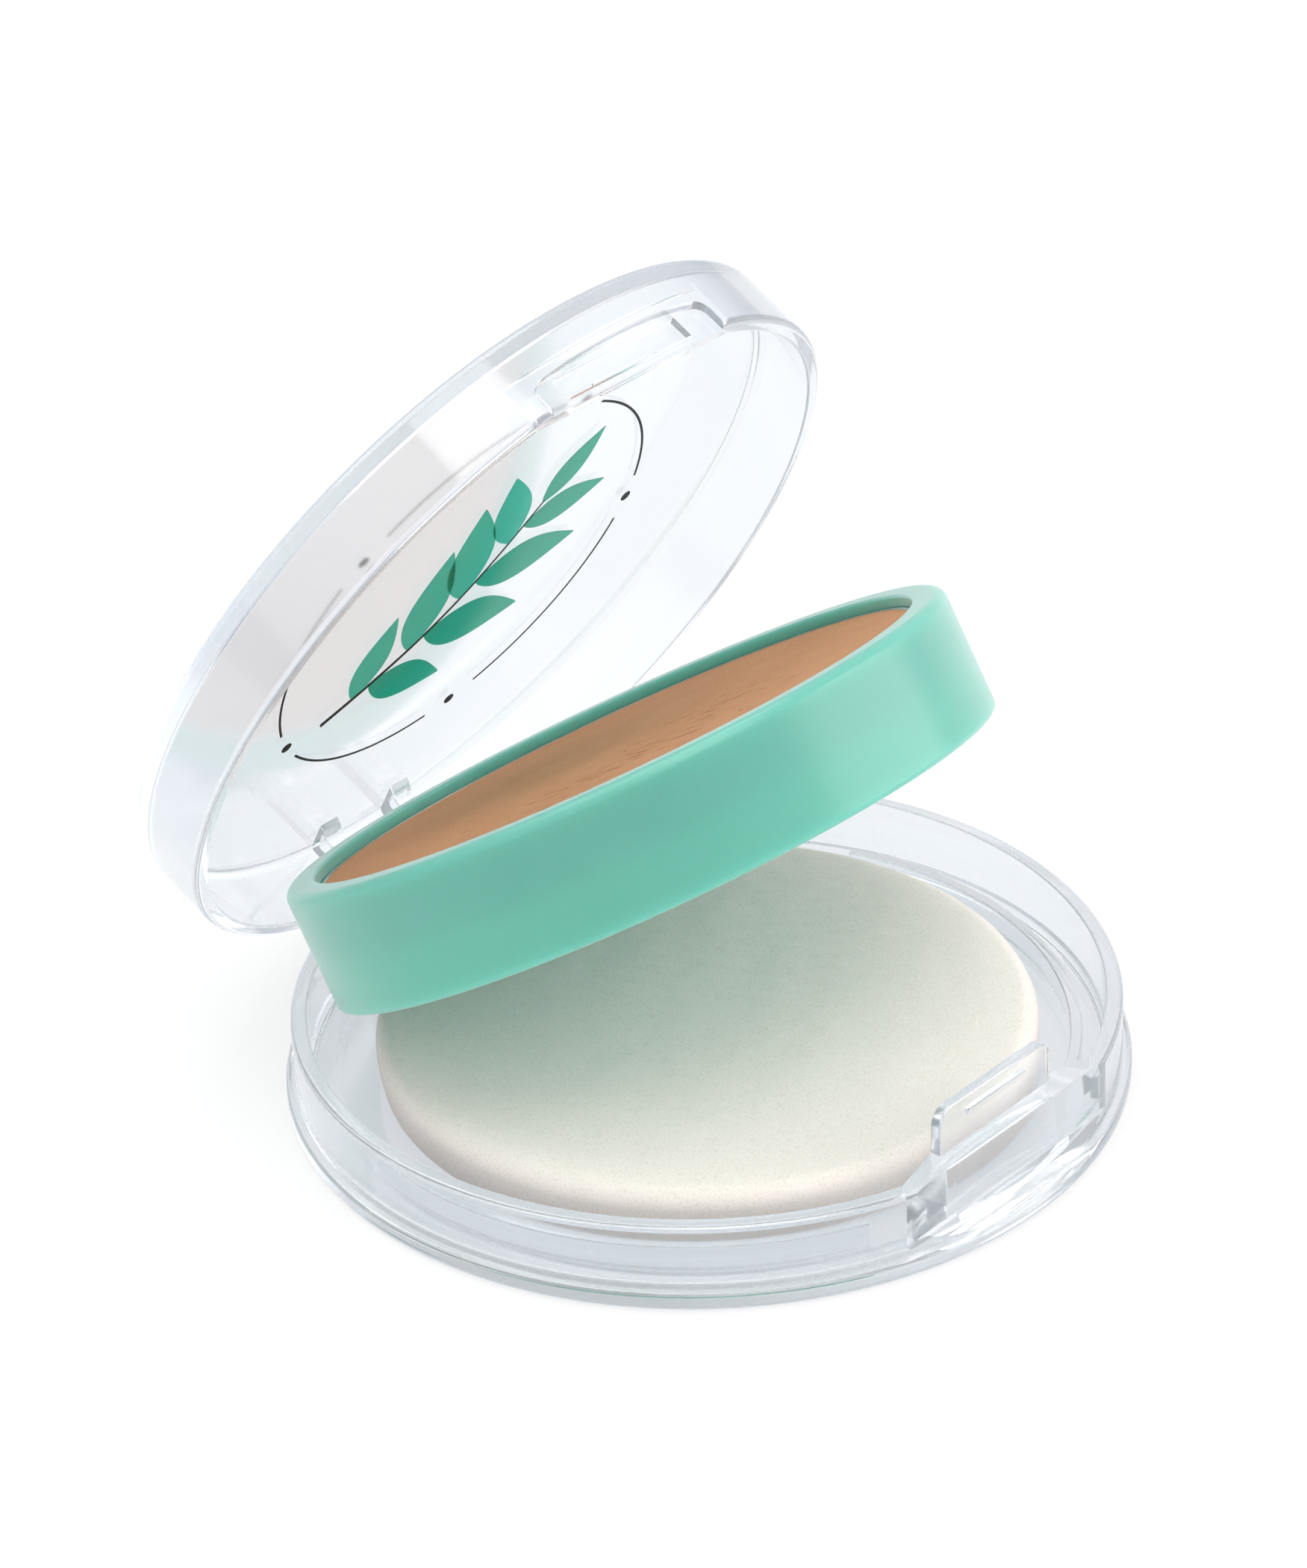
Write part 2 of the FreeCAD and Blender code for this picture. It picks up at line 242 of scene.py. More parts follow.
def turned(section: np.ndarray, centre_y: float = 0.0, steps: int = ROUND_STEPS) -> Skin:
    """Surface of revolution about a vertical axis: (r(s) cos t, centre_y + r(s) sin t, z(s)).

    Args:
        section: (r, z) points from the axis to the axis; the two end points are the poles.
        centre_y: Place of the axis along Y.
        steps: Facets round the axis.

    Returns:
        Closed skin.
    """
    turn = np.linspace(0, 2 * math.pi, steps, endpoint=False)[:, None]
    radius, height = section[1:-1].T
    level = np.broadcast_to(height, (steps, len(height)))
    grid = np.stack([radius * np.cos(turn), centre_y + radius * np.sin(turn), level], axis=-1)
    poles = [(0, centre_y, section[0, 1]), (0, centre_y, section[-1, 1])]
    index = np.arange(level.size).reshape(level.shape)
    ahead = np.roll(index, -1, axis=0)
    quads = np.stack([index[:, :-1], ahead[:, :-1], ahead[:, 1:], index[:, 1:]], axis=-1).reshape(-1, 4)
    low = np.full(steps, level.size)
    fans = [np.stack([low, ahead[:, 0], index[:, 0]], axis=-1)]
    fans.append(np.stack([low + 1, index[:, -1], ahead[:, -1]], axis=-1))
    return Skin(np.concatenate([grid.reshape(-1, 3), poles]), [quads] + fans).outward()


def carried(rings: np.ndarray) -> Skin:
    """Skin over a row of closed outlines with the same number of points, closed by a cap at each end.

    Args:
        rings: Array (rings, points, 3).

    Returns:
        Closed skin.
    """
    count, corners = rings.shape[:2]
    index = np.arange(count * corners).reshape(count, corners)
    aside = np.roll(index, -1, axis=1)
    quads = np.stack([index[:-1], aside[:-1], aside[1:], index[1:]], axis=-1).reshape(-1, 4)
    return Skin(rings.reshape(-1, 3), [quads, index[:1, ::-1], index[-1:]]).outward()


def carried_round(section: np.ndarray, start: float, sweep: float) -> Skin:
    """Closed section of (r, z) carried round the Z axis: (r cos t, r sin t, z) for t from start on.

    Args:
        section: Outline points.
        start: First angle in degrees from +X.
        sweep: Angle covered in degrees.

    Returns:
        Closed skin with two flat ends.
    """
    steps = max(2, round(ROUND_STEPS * sweep / 360))
    turn = np.radians(np.linspace(start, start + sweep, steps + 1))[:, None]
    radius, height = section.T
    level = np.broadcast_to(height, (steps + 1, len(height)))
    return carried(np.stack([radius * np.cos(turn), radius * np.sin(turn), level], axis=-1))


def inset(outline: np.ndarray, depth: float) -> np.ndarray:
    """Moves an anticlockwise outline inwards.

    Each corner slides along its mitre, (n1 + n2) / (1 + n1.n2), where n1 and n2 are the inward normals of the
    two sides that meet there.

    Args:
        outline: (u, v) points.
        depth: How far every side moves.

    Returns:
        The moved points.
    """
    along = np.roll(outline, -1, axis=0) - outline
    along = along / np.linalg.norm(along, axis=1, keepdims=True)
    inward = np.stack([-along[:, 1], along[:, 0]], axis=-1)
    before = np.roll(inward, 1, axis=0)
    return outline + depth * (before + inward) / (1 + np.sum(before * inward, axis=1, keepdims=True))


def plate(outline: np.ndarray, axis: Axis, low: float, high: float, edge: float = 0.0) -> Skin:
    """Outline extruded along an axis, with quarter-round edges.

    Along an edge the outline is inset by edge (1 - sin q) at the height edge (1 - cos q), for q from 0 to 90
    degrees. One more ring just inside each flat face guards its shading.

    Args:
        outline: (u, v) points.
        axis: Direction of the extrusion.
        low: Lower end along the axis.
        high: Upper end along the axis.
        edge: Radius of the edges, or 0 for sharp ones.

    Returns:
        Closed skin.
    """
    across = np.roll(outline, -1, axis=0)
    if np.sum(outline[:, 0] * across[:, 1] - outline[:, 1] * across[:, 0]) < 0:
        outline = outline[::-1]
    levels = [(0.0, low), (0.0, high)]
    if edge > 0:
        quarter = np.linspace(0, math.pi / 2, EDGE_STEPS + 1)
        rise = [(edge * (1 - math.sin(q)), edge * (1 - math.cos(q))) for q in quarter]
        rise.insert(0, (edge + GUARD, 0.0))
        levels = [(depth, low + up) for depth, up in rise]
        levels += [(depth, high - up) for depth, up in reversed(rise)]
    rings = []
    for depth, level in levels:
        moved = inset(outline, depth)
        rings.append(np.column_stack([moved, np.full(len(moved), level)])[:, list(axis.value)])
    return carried(np.stack(rings))


def block(x: Sequence[float], y: Sequence[float], z: Sequence[float], edge: float = 0.0) -> Skin:
    """Rectangular block between (low, high) pairs, with rounded edges round its ends along Z."""
    return plate(rectangle(x[0], x[1], y[0], y[1]), Axis.Z, z[0], z[1], edge)


def capsule(radius: float, half: float, y: float, z: float) -> Skin:
    """Straight bead along X with round ends: a half circle, its two quarters drawn apart, turned about X.

    Args:
        radius: Radius of the bead and of its ends.
        half: Half the distance between the middles of its ends.
        y: Place of its axis along Y.
        z: Height of its axis.

    Returns:
        Closed skin.
    """
    swing = np.linspace(-math.pi / 2, math.pi / 2, BEAD_ARC_POINTS)
    section = np.stack([radius * np.cos(swing), radius * np.sin(swing) + np.sign(swing) * half], axis=-1)
    middle = len(swing) // 2
    section = np.concatenate([section[:middle], [(radius, -half), (radius, half)], section[middle + 1:]])
    return turned(section, steps=BEAD_STEPS).moved(Axis.X.value, (0, y, z))


def mirrored(low: float, high: float) -> tuple[Pair, ...]:
    """A span along X and its mirror image."""
    return (low, high), (-high, -low)


def placed(name: str, data: bpy.types.ID) -> bpy.types.Object:
    """Puts data into the scene.

    Args:
        name: Name of the object.
        data: Its mesh, lamp or camera data.

    Returns:
        The new object.
    """
    made = bpy.data.objects.new(name, data)
    bpy.context.scene.collection.objects.link(made)
    return made


class Solid:
    """A closed mesh in millimetres that can be worked together with others."""

    def __init__(self, skin: Skin) -> None:
        """Makes the mesh of a skin."""
        self.mesh = skin.mesh("solid")

    def worked(self, join: Join, tools: Iterable["Solid"]) -> "Solid":
        """Joins, cuts or keeps this solid with others, one after the other.

        Args:
            join: What to do with each tool.
            tools: Solids to work in; they are used up.

        Returns:
            The solid itself, with its new mesh.
        """
        subject = placed("subject", self.mesh)
        helpers = [placed("helper", tool.mesh) for tool in tools]
        for helper in helpers:
            step = subject.modifiers.new("step", "BOOLEAN")
            step.operation = join.value
            step.solver = "MANIFOLD"
            step.object = helper
        graph = bpy.context.evaluated_depsgraph_get()
        self.mesh = bpy.data.meshes.new_from_object(subject.evaluated_get(graph))
        for used in [subject] + helpers:
            old = used.data
            bpy.data.objects.remove(used)
            bpy.data.meshes.remove(old)
        return self


def lathe(corners: Sequence[Triple], centre_y: float = 0.0) -> Solid:
    """Solid turned from the rounded corners of a half section that starts and ends on the axis."""
    return Solid(turned(rounded(corners, closed=False), centre_y))


def disc(radius: float, low: float, high: float, centre_y: float = 0.0) -> Solid:
    """Upright round tool between two heights."""
    return Solid(plate(circle(radius, 0, centre_y, ROUND_STEPS), Axis.Z, low, high))


def linear(code: str) -> Colour:
    """Changes an sRGB colour to the linear one that sockets take.

    Args:
        code: Hex code, with # before it.

    Returns:
        Linear red, green and blue, and alpha 1.
    """
    channels = np.array([int(code[start:start + 2], 16) for start in (1, 3, 5)]) / 255
    curve = np.where(channels <= 0.04045, channels / 12.92, ((channels + 0.055) / 1.055) ** 2.4)
    return (*curve.tolist(), 1.0)


def per_metre(spacing: float) -> float:
    """Texture scale that repeats a pattern every spacing millimetres on object coordinates in metres."""
    return 1.0 / (spacing * MM)


def add_node(tree: Tree, kind: str, settings: Optional[dict] = None,
             values: Optional[dict] = None, links: Optional[dict] = None) -> bpy.types.Node:
    """Adds a node with its settings, input values and links.

    Args:
        tree: Tree that gets the node.
        kind: Blender's name of the node, without ShaderNode before it.
        settings: Properties of the node.
        values: Input sockets and their constant values.
        links: Input sockets and the output sockets that feed them.

    Returns:
        The new node.
    """
    node = tree.nodes.new("ShaderNode" + kind)
    for name, value in (settings or {}).items():
        setattr(node, name, value)
    for socket, value in (values or {}).items():
        node.inputs[socket].default_value = value
    for socket, source in (links or {}).items():
        tree.links.new(source, node.inputs[socket])
    return node


def cleared(holder: bpy.types.ID) -> Tree:
    """Empties the node tree of a material or world.

    Args:
        holder: The material or world.

    Returns:
        Its empty tree.
    """
    holder.use_nodes = True
    holder.node_tree.nodes.clear()
    return holder.node_tree


@dataclass(frozen=True)
class Finish:
    """A surface finish: the material's name and the record slot that it stands for."""

    name: str
    slot: Optional[str]

    def dress(self, tree: Tree, place: Socket) -> dict:
        """Adds the nodes of the finish.

        Args:
            tree: Empty node tree of the material.
            place: Object coordinates, in metres.

        Returns:
            Shader outputs by the name of the material output's socket.
        """
        raise NotImplementedError

    def material(self) -> bpy.types.Material:
        """Makes the material of the finish, once.

        Returns:
            The material.
        """
        made = bpy.data.materials.get(self.name)
        if made is None:
            made = bpy.data.materials.new(self.name)
            tree = cleared(made)
            place = add_node(tree, "TexCoord").outputs["Object"]
            add_node(tree, "OutputMaterial", links=self.dress(tree, place))
        return made


@dataclass(frozen=True)
class ClearStyrene(Finish):
    """Clear styrene from a polished mould: like glass with a slight haze, grey-blue where light runs along it."""

    tint: str = "#F9FBFD"
    ior: float = 1.59
    roughness: float = 0.09
    absorption: Triple = (2.0, 1.7, 1.4)
    ripple: float = 7.0
    ripple_height: float = 0.0008

    def dress(self, tree: Tree, place: Socket) -> dict:
        """Refracting body with even absorption, and the faint ripple of the moulding as bump.

        Args:
            tree: Tree that gets the nodes.
            place: Object coordinates, in metres.

        Returns:
            The surface and the volume.
        """
        noise = add_node(tree, "TexNoise", values={"Scale": per_metre(self.ripple), "Detail": 1.0},
                         links={"Vector": place})
        bump = add_node(tree, "Bump", values={"Strength": 1.0, "Distance": self.ripple_height * MM},
                        links={"Height": noise.outputs[0]})
        shader = add_node(tree, "BsdfPrincipled", values={
            "Base Color": linear(self.tint), "Roughness": self.roughness, "IOR": self.ior,
            "Transmission Weight": 1.0}, links={"Normal": bump.outputs[0]})
        density = max(self.absorption)
        passed = [1 - part / density for part in self.absorption]
        volume = add_node(tree, "VolumeAbsorption", values={"Color": (*passed, 1.0), "Density": density})
        return {"Surface": shader.outputs[0], "Volume": volume.outputs[0]}


@dataclass(frozen=True)
class Clouded(Finish):
    """Plastic, glue or ink of one colour that drifts between two tones.

    The body holds the constant inputs of the shader. If peel isn't 0, it is the width of a fine orange peel.
    """

    deep: str
    pale: str
    cloud: float
    detail: float
    body: dict
    peel: float = 0.0
    peel_height: float = 0.0

    def dress(self, tree: Tree, place: Socket) -> dict:
        """Clouded body with the peel as bump.

        Args:
            tree: Tree that gets the nodes.
            place: Object coordinates, in metres.

        Returns:
            The surface.
        """
        cloud = add_node(tree, "TexNoise", values={"Scale": per_metre(self.cloud), "Detail": self.detail},
                         links={"Vector": place})
        colour = add_node(tree, "Mix", RGBA, {MIX_LOW: linear(self.deep), MIX_HIGH: linear(self.pale)},
                          {0: cloud.outputs[0]})
        links = {"Base Color": colour.outputs[MIX_OUT]}
        if self.peel:
            peel = add_node(tree, "TexNoise", values={"Scale": per_metre(self.peel), "Detail": self.detail},
                            links={"Vector": place})
            bump = add_node(tree, "Bump", values={"Strength": 1.0, "Distance": self.peel_height * MM},
                            links={"Height": peel.outputs[0]})
            links["Normal"] = bump.outputs[0]
        return {"Surface": add_node(tree, "BsdfPrincipled", values=self.body, links=links).outputs[0]}


@dataclass(frozen=True)
class PressedPowder(Finish):
    """Pressed face powder: dead matt and warm, with fine grain, faint blotches, and drag marks that are sunk and
    darkened with painted shade.
    """

    scar: str = "#6C482D"
    deep: str = "#B98761"
    pale: str = "#C99872"
    blotch: float = 5.0
    blotch_detail: float = 4.0
    blotch_share: float = 0.5
    tones: Pair = (0.45, 1.05)
    grain: float = 0.22
    grain_detail: float = 3.0
    grain_height: float = 0.02

    def dress(self, tree: Tree, place: Socket) -> dict:
        """Blotched tan body with painted shade in the drag marks; the grain is drawn coarser than real powder so
        that it shows.

        Args:
            tree: Tree that gets the nodes.
            place: Object coordinates, in metres.

        Returns:
            The surface.
        """
        blotch, grain = (
            add_node(tree, "TexNoise", values={"Scale": per_metre(width), "Detail": detail},
                     links={"Vector": place})
            for width, detail in ((self.blotch, self.blotch_detail), (self.grain, self.grain_detail)))
        share = add_node(tree, "Math", {"operation": "MULTIPLY_ADD"}, {1: self.blotch_share},
                         {0: blotch.outputs[0], 2: grain.outputs[0]})
        even = add_node(tree, "MapRange", values=dict(zip((FROM_LOW, FROM_HIGH), self.tones)),
                        links={0: share.outputs[0]})
        colour = add_node(tree, "Mix", RGBA, {MIX_LOW: linear(self.deep), MIX_HIGH: linear(self.pale)},
                          {0: even.outputs[0]})
        # Painted shade: the drag-mark attribute mixes a dark brown into the creases, where shade would fall.
        scar = add_node(tree, "Attribute", {"attribute_name": CREASE_SHADE})
        crease_shaded = add_node(tree, "Mix", RGBA, {MIX_HIGH: linear(self.scar)},
                           {0: scar.outputs["Fac"], MIX_LOW: colour.outputs[MIX_OUT]})
        bump = add_node(tree, "Bump", values={"Strength": 1.0, "Distance": self.grain_height * MM},
                        links={"Height": grain.outputs[0]})
        shader = add_node(tree, "BsdfPrincipled", values={
            "Roughness": 0.95, "IOR": 1.45, "Specular IOR Level": 0.2},
            links={"Base Color": crease_shaded.outputs[MIX_OUT], "Normal": bump.outputs[0]})
        return {"Surface": shader.outputs[0]}


@dataclass(frozen=True)
class LatexFoam(Finish):
    """Fine-pored cream latex foam, cut and ground: chalky, with tiny open pores darkened by painted shade, and
    soft inner light.
    """

    body: str = "#FCF2EA"
    pore_shade: str = "#EAE1D7"
    pore_width: float = 0.16
    pore_height: float = 0.03
    pore_tones: Pair = (0.28, 0.5)

    def dress(self, tree: Tree, place: Socket) -> dict:
        """Cream body with pores darkened by painted shade; the pores are drawn about twice their size so that they
        show.

        Args:
            tree: Tree that gets the nodes.
            place: Object coordinates, in metres.

        Returns:
            The surface.
        """
        pores = add_node(tree, "TexNoise", values={
            "Scale": per_metre(self.pore_width), "Detail": 3.0, "Roughness": 0.6}, links={"Vector": place})
        pore_shade_mask = add_node(tree, "MapRange", values=dict(zip((FROM_LOW, FROM_HIGH), self.pore_tones)),
                              links={0: pores.outputs[0]})
        # Painted shade: the pores are mixed towards a darker cream, where shade would fall in them.
        colour = add_node(tree, "Mix", RGBA, {MIX_LOW: linear(self.pore_shade), MIX_HIGH: linear(self.body)},
                          {0: pore_shade_mask.outputs[0]})
        bump = add_node(tree, "Bump", values={"Strength": 1.0, "Distance": self.pore_height * MM},
                        links={"Height": pores.outputs[0]})
        shader = add_node(tree, "BsdfPrincipled", values={
            "Roughness": 0.95, "IOR": 1.45, "Specular IOR Level": 0.15, "Sheen Weight": 0.1,
            "Subsurface Weight": 0.2, "Subsurface Radius": (1.0, 1.0, 0.9), "Subsurface Scale": 0.8 * MM},
            links={"Base Color": colour.outputs[MIX_OUT], "Normal": bump.outputs[0]})
        return {"Surface": shader.outputs[0]}


@dataclass(frozen=True)
class DrawnMetal(Finish):
    """Drawn metal: bright, with fine draw lines along X that stretch its highlights."""

    colour: str
    roughness: Pair
    line: float = 0.12
    stretch: Triple = (0.08, 1.0, 1.0)

    def dress(self, tree: Tree, place: Socket) -> dict:
        """Metal whose roughness varies along the draw lines, drawn coarser than real ones so that they show.

        Args:
            tree: Tree that gets the nodes.
            place: Object coordinates, in metres.

        Returns:
            The surface.
        """
        stretch = add_node(tree, "Mapping", values={"Scale": self.stretch}, links={"Vector": place})
        lines = add_node(tree, "TexNoise", values={"Scale": per_metre(self.line), "Detail": 2.0},
                         links={"Vector": stretch.outputs[0]})
        rough = add_node(tree, "MapRange", values=dict(zip((TO_LOW, TO_HIGH), self.roughness)),
                         links={0: lines.outputs[0]})
        shader = add_node(tree, "BsdfPrincipled", values={
            "Base Color": linear(self.colour), "Metallic": 1.0}, links={"Roughness": rough.outputs[0]})
        return {"Surface": shader.outputs[0]}


CLEAR = ClearStyrene("clear styrene, polished mould", "clear_styrene")
# Polypropylene with a satin moulded face: soft gloss, light bleeding through thin edges.
MINT = Clouded("mint polypropylene, satin mould", "mint_tray", "#61A899", "#6DB4A5", cloud=16.0, detail=2.0, body={
    "Roughness": 0.27, "IOR": 1.49, "Subsurface Weight": 1.0, "Subsurface Radius": (0.7, 1.0, 0.9),
    "Subsurface Scale": 3.4 * MM, "Sheen Weight": 0.3, "Sheen Roughness": 0.4}, peel=0.5, peel_height=0.002)
POWDER = PressedPowder("pressed face powder", "pressed_powder")
FOAM = LatexFoam("latex foam, ground", "sponge_foam")
ALUMINIUM = DrawnMetal("aluminium, drawn", "pan_aluminium", "#D9DADC", (0.22, 0.38))
STEEL = DrawnMetal("steel wire, drawn", "hinge_steel", "#B4B6B9", (0.2, 0.34))
# Hot-melt glue, pressed flat: milky and waxy, with clouds a few millimetres wide.
GLUE = Clouded("hot-melt glue, pressed", "hot_melt", "#D8CFB4", "#EDE6D3", cloud=3.0, detail=2.0, body={
    "Roughness": 0.45, "IOR": 1.48, "Subsurface Weight": 0.3, "Subsurface Radius": (1.0, 0.9, 0.7),
    "Subsurface Scale": 1.0 * MM})
# Screen-printed ink: thin, with the faint mottle of the mesh. Light glows through the greens, the lines are dense.
GREEN_INK = {"Roughness": 0.15, "IOR": 1.3, "Transmission Weight": 0.9}
DENSE_INK = {"Roughness": 0.6, "IOR": 1.3, "Transmission Weight": 0.0}
LEAF_INK = Clouded("screen ink, deep green", None, "#06B091", "#0CBC9C", 0.8, 3.0, GREEN_INK)
SHOOT_INK = Clouded("screen ink, pale green", None, "#3CCAB0", "#4ED5BC", 0.8, 3.0, GREEN_INK)
LINE_INK = Clouded("screen ink, charcoal", None, "#2E3436", "#394042", 0.8, 3.0, DENSE_INK)


@dataclass(frozen=True)
class Hinge:
    """The hinge at the back: its axis, its sizes and how far lid and tray stand open at rest."""

    y: float
    z: float
    tray_angle: float
    lid_angle: float
    pin_radius: float = 0.75
    pin_clearance: float = 0.05
    press_gap: float = 0.01
    barrel_radius: float = 1.5
    ear_radius: float = 1.9
    swing_radius: float = 2.6
    base_half: float = 2.7
    arm_start: float = 3.0
    arm_end: float = 5.0
    tray_start: float = 5.3
    tray_end: float = 8.4
    window_half: float = 8.7
    pin_inner_end: float = 0.6
    edge: float = 0.12

    @classmethod
    def of_frame(cls, joints: Sequence[dict]) -> "Hinge":
        """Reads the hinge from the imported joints.

        Args:
            joints: Joints of the frame. Both turn about the same axis and close at their lower limits.

        Returns:
            The hinge, with its axis in millimetres and its rest angles in degrees.
        """
        by_name = {joint["name"]: joint for joint in joints}
        tray = by_name["tray_hinge"]
        tray_angle = -tray["range_deg"][0]
        lid_angle = tray_angle - by_name["lid_hinge"]["range_deg"][0]
        return cls(tray["pos_m"][1] / MM, tray["pos_m"][2] / MM, tray_angle, lid_angle)

    def rest_angle(self, body: Body) -> float:
        """Angle in degrees that a body stands open at rest."""
        return {Body.BASE: 0.0, Body.TRAY: self.tray_angle, Body.LID: self.lid_angle}[body]

    def rod(self, radius: float, x_low: float, x_high: float, edge: float = 0.0) -> Skin:
        """Round bar on the hinge axis."""
        return plate(circle(radius, self.y, self.z), Axis.X, x_low, x_high, edge)

    def bore(self) -> Solid:
        """Tool that bores a running fit for the pins through everything on the axis."""
        return Solid(self.rod(self.pin_radius + self.pin_clearance, -FAR, FAR))

    def knuckle(self, root: Solid, radius: float, low: float, high: float) -> Solid:
        """A root joined to its barrel on the axis."""
        return root.worked(Join.ADD, [Solid(self.rod(radius, low, high, self.edge))])

    def swing(self, body: Body) -> Matrix:
        """Turn that opens a body from closed to rest.

        Args:
            body: The body.

        Returns:
            Matrix of the turn about the hinge axis, in millimetres.
        """
        axis = Matrix.Translation(Vector((0, self.y, self.z)))
        turn = Matrix.Rotation(-math.radians(self.rest_angle(body)), 4, "X")
        return axis @ turn @ axis.inverted()


def finished(mesh: bpy.types.Mesh, name: str, body: Body, hinge: Hinge, finish: Finish,
             node: Optional[str] = None) -> bpy.types.Object:
    """Makes a piece of a closed-pose mesh: cleans it, opens it to its rest pose and hands it to its body.

    Args:
        mesh: Mesh in millimetres.
        name: Name of the piece.
        body: Body that it rides on.
        hinge: The hinge that opens it.
        finish: Its finish.
        node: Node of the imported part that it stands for.

    Returns:
        The finished object.
    """
    work = bmesh.new()
    work.from_mesh(mesh)
    bmesh.ops.remove_doubles(work, verts=work.verts, dist=MERGE_DISTANCE)
    work.to_mesh(mesh)
    work.free()
    mesh.name = name
    mesh.transform(Matrix.Scale(MM, 4) @ hinge.swing(body))
    mesh.shade_smooth()
    mesh.set_sharp_from_angle(angle=SHARP_ANGLE)
    mesh.materials.clear()
    mesh.materials.append(finish.material())
    piece = placed(name, mesh)
    if node is not None:
        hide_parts(node)
    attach(piece, body.value)
    LOG.info("%s: %d faces on %s", name, len(mesh.polygons), body.value)
    return piece


@dataclass(frozen=True)
class ClearShell:
    """Sizes that the two clear mouldings share."""

    hinge: Hinge
    radius: float = 32.0
    wall: float = 1.3
    rim_outer_round: float = 0.5
    rim_inner_round: float = 0.2
    corner_round: float = 0.5
    front_flat: float = 30.0
    bead_radius: float = 0.45
    bead_half: float = 3.2
    edge: float = 0.15

    def limit(self, low: float = -FAR, high: float = FAR) -> Solid:
        """Round tool that keeps what lies inside the middle of the wall."""
        return disc(self.radius - self.wall / 2, low, high)


@dataclass(frozen=True)
class BaseDish(ClearShell):
    """Clear base dish with foot, thumb notch, latch tab, fences and hinge knuckles."""

    height: float = 6.9
    floor: float = 1.35
    foot_radius: float = 32.7
    foot_height: float = 1.5
    foot_round: float = 0.6
    foot_top_round: float = 0.35
    groove_radius: float = 28.7
    groove_half: float = 0.3
    groove_depth: float = 0.3
    front_depth: float = 2.4
    front_splay: float = 13.0
    front_spare: float = 1.0
    ledge: float = 2.7
    scoop_radius: float = 3.0
    scoop_y: float = -33.003
    scoop_z: float = 4.1
    scoop_steps: int = 120
    tab_half: float = 6.5
    tab_thickness: float = 0.9
    tab_height: float = 3.7
    tab_corner: float = 1.5
    bead_proud: float = 0.2
    bead_drop: float = 1.3
    fence_inner: float = 27.97
    fence_thickness: float = 0.9
    fence_height: float = 2.05
    fence_start: float = 163.0
    fence_sweep: float = 82.0
    sill_z: float = 2.3
    foot_back_z: float = 0.95

    def shell(self) -> Solid:
        """Turns the dish with its foot flange and the ring groove in its underside.

        Returns:
            The dish before its front, hinge and latch.
        """
        inner = self.radius - self.wall
        groove = [self.groove_radius - self.groove_half, self.groove_radius + self.groove_half]
        return lathe([
            (0, 0, 0),
            (groove[0], 0, 0),
            (groove[0], self.groove_depth, 0),
            (groove[1], self.groove_depth, 0),
            (groove[1], 0, 0),
            (self.foot_radius, 0, self.foot_round),
            (self.foot_radius, self.foot_height, self.foot_top_round),
            (self.radius, self.foot_height, 0),
            (self.radius, self.height, self.rim_outer_round),
            (inner, self.height, self.rim_inner_round),
            (inner, self.floor, self.corner_round),
            (0, self.floor, 0),
        ])

    def front(self) -> Solid:
        """Makes the front wall behind the flat, its inner face splayed to the round wall at both ends.

        Returns:
            The wall, trimmed to the inside of the dish.
        """
        back = self.front_flat - self.front_depth
        end = self.tab_half + self.front_depth / math.tan(math.radians(self.front_splay))
        outline = np.array([(-end, -self.front_flat), (end, -self.front_flat),
                            (self.tab_half, -back), (-self.tab_half, -back)])
        raw = Solid(plate(outline, Axis.Z, self.floor / 2, self.height, self.edge))
        return raw.worked(Join.KEEP, [self.limit(0, self.height + self.front_spare)])

    def fences(self) -> list[Solid]:
        """Carries the fence section round on the floor, mirrored left and right.

        Returns:
            The two curved fences.
        """
        outer = self.fence_inner + self.fence_thickness
        top = self.floor + self.fence_height
        section = rounded([(self.fence_inner, self.floor / 2, 0), (outer, self.floor / 2, 0),
                           (outer, top, self.edge), (self.fence_inner, top, self.edge)])
        starts = (self.fence_start, 180.0 - self.fence_start - self.fence_sweep)
        return [Solid(carried_round(section, start, self.fence_sweep)) for start in starts]

    def latch(self) -> list[Solid]:
        """Makes the upright latch tab with a bead across its front face.

        Returns:
            The tab and the bead.
        """
        back = self.front_flat - self.front_depth
        front = back + self.tab_thickness
        top = self.height + self.tab_height
        foot = self.height - self.wall
        outline = rounded([(-self.tab_half, foot, 0), (self.tab_half, foot, 0),
                           (self.tab_half, top, self.tab_corner), (-self.tab_half, top, self.tab_corner)])
        tab = plate(outline, Axis.Y, -front, -back, self.edge)
        bead_y = -(front + self.bead_proud - self.bead_radius)
        bead = capsule(self.bead_radius, self.bead_half, bead_y, top - self.bead_drop)
        return [Solid(tab), Solid(bead)]

    def knuckles(self) -> list[Solid]:
        """Makes the ears beside the hinge window and the knuckle in its middle, standing on the floor.

        Returns:
            Two ears and the knuckle, trimmed to the outside of the dish.
        """
        hinge = self.hinge
        ear_end = math.sqrt(self.radius ** 2 - (hinge.y - hinge.ear_radius) ** 2)
        spans = [(hinge.ear_radius, *span) for span in mirrored(hinge.window_half, ear_end)]
        spans.append((hinge.barrel_radius, -hinge.base_half, hinge.base_half))
        made = []
        for radius, low, high in spans:
            post = Solid(block((low, high), (hinge.y - radius, hinge.y + radius), (self.floor / 2, hinge.z)))
            hinge.knuckle(post, radius, low, high)
            made.append(post.worked(Join.KEEP, [disc(self.radius, 0, self.height)]))
        return made

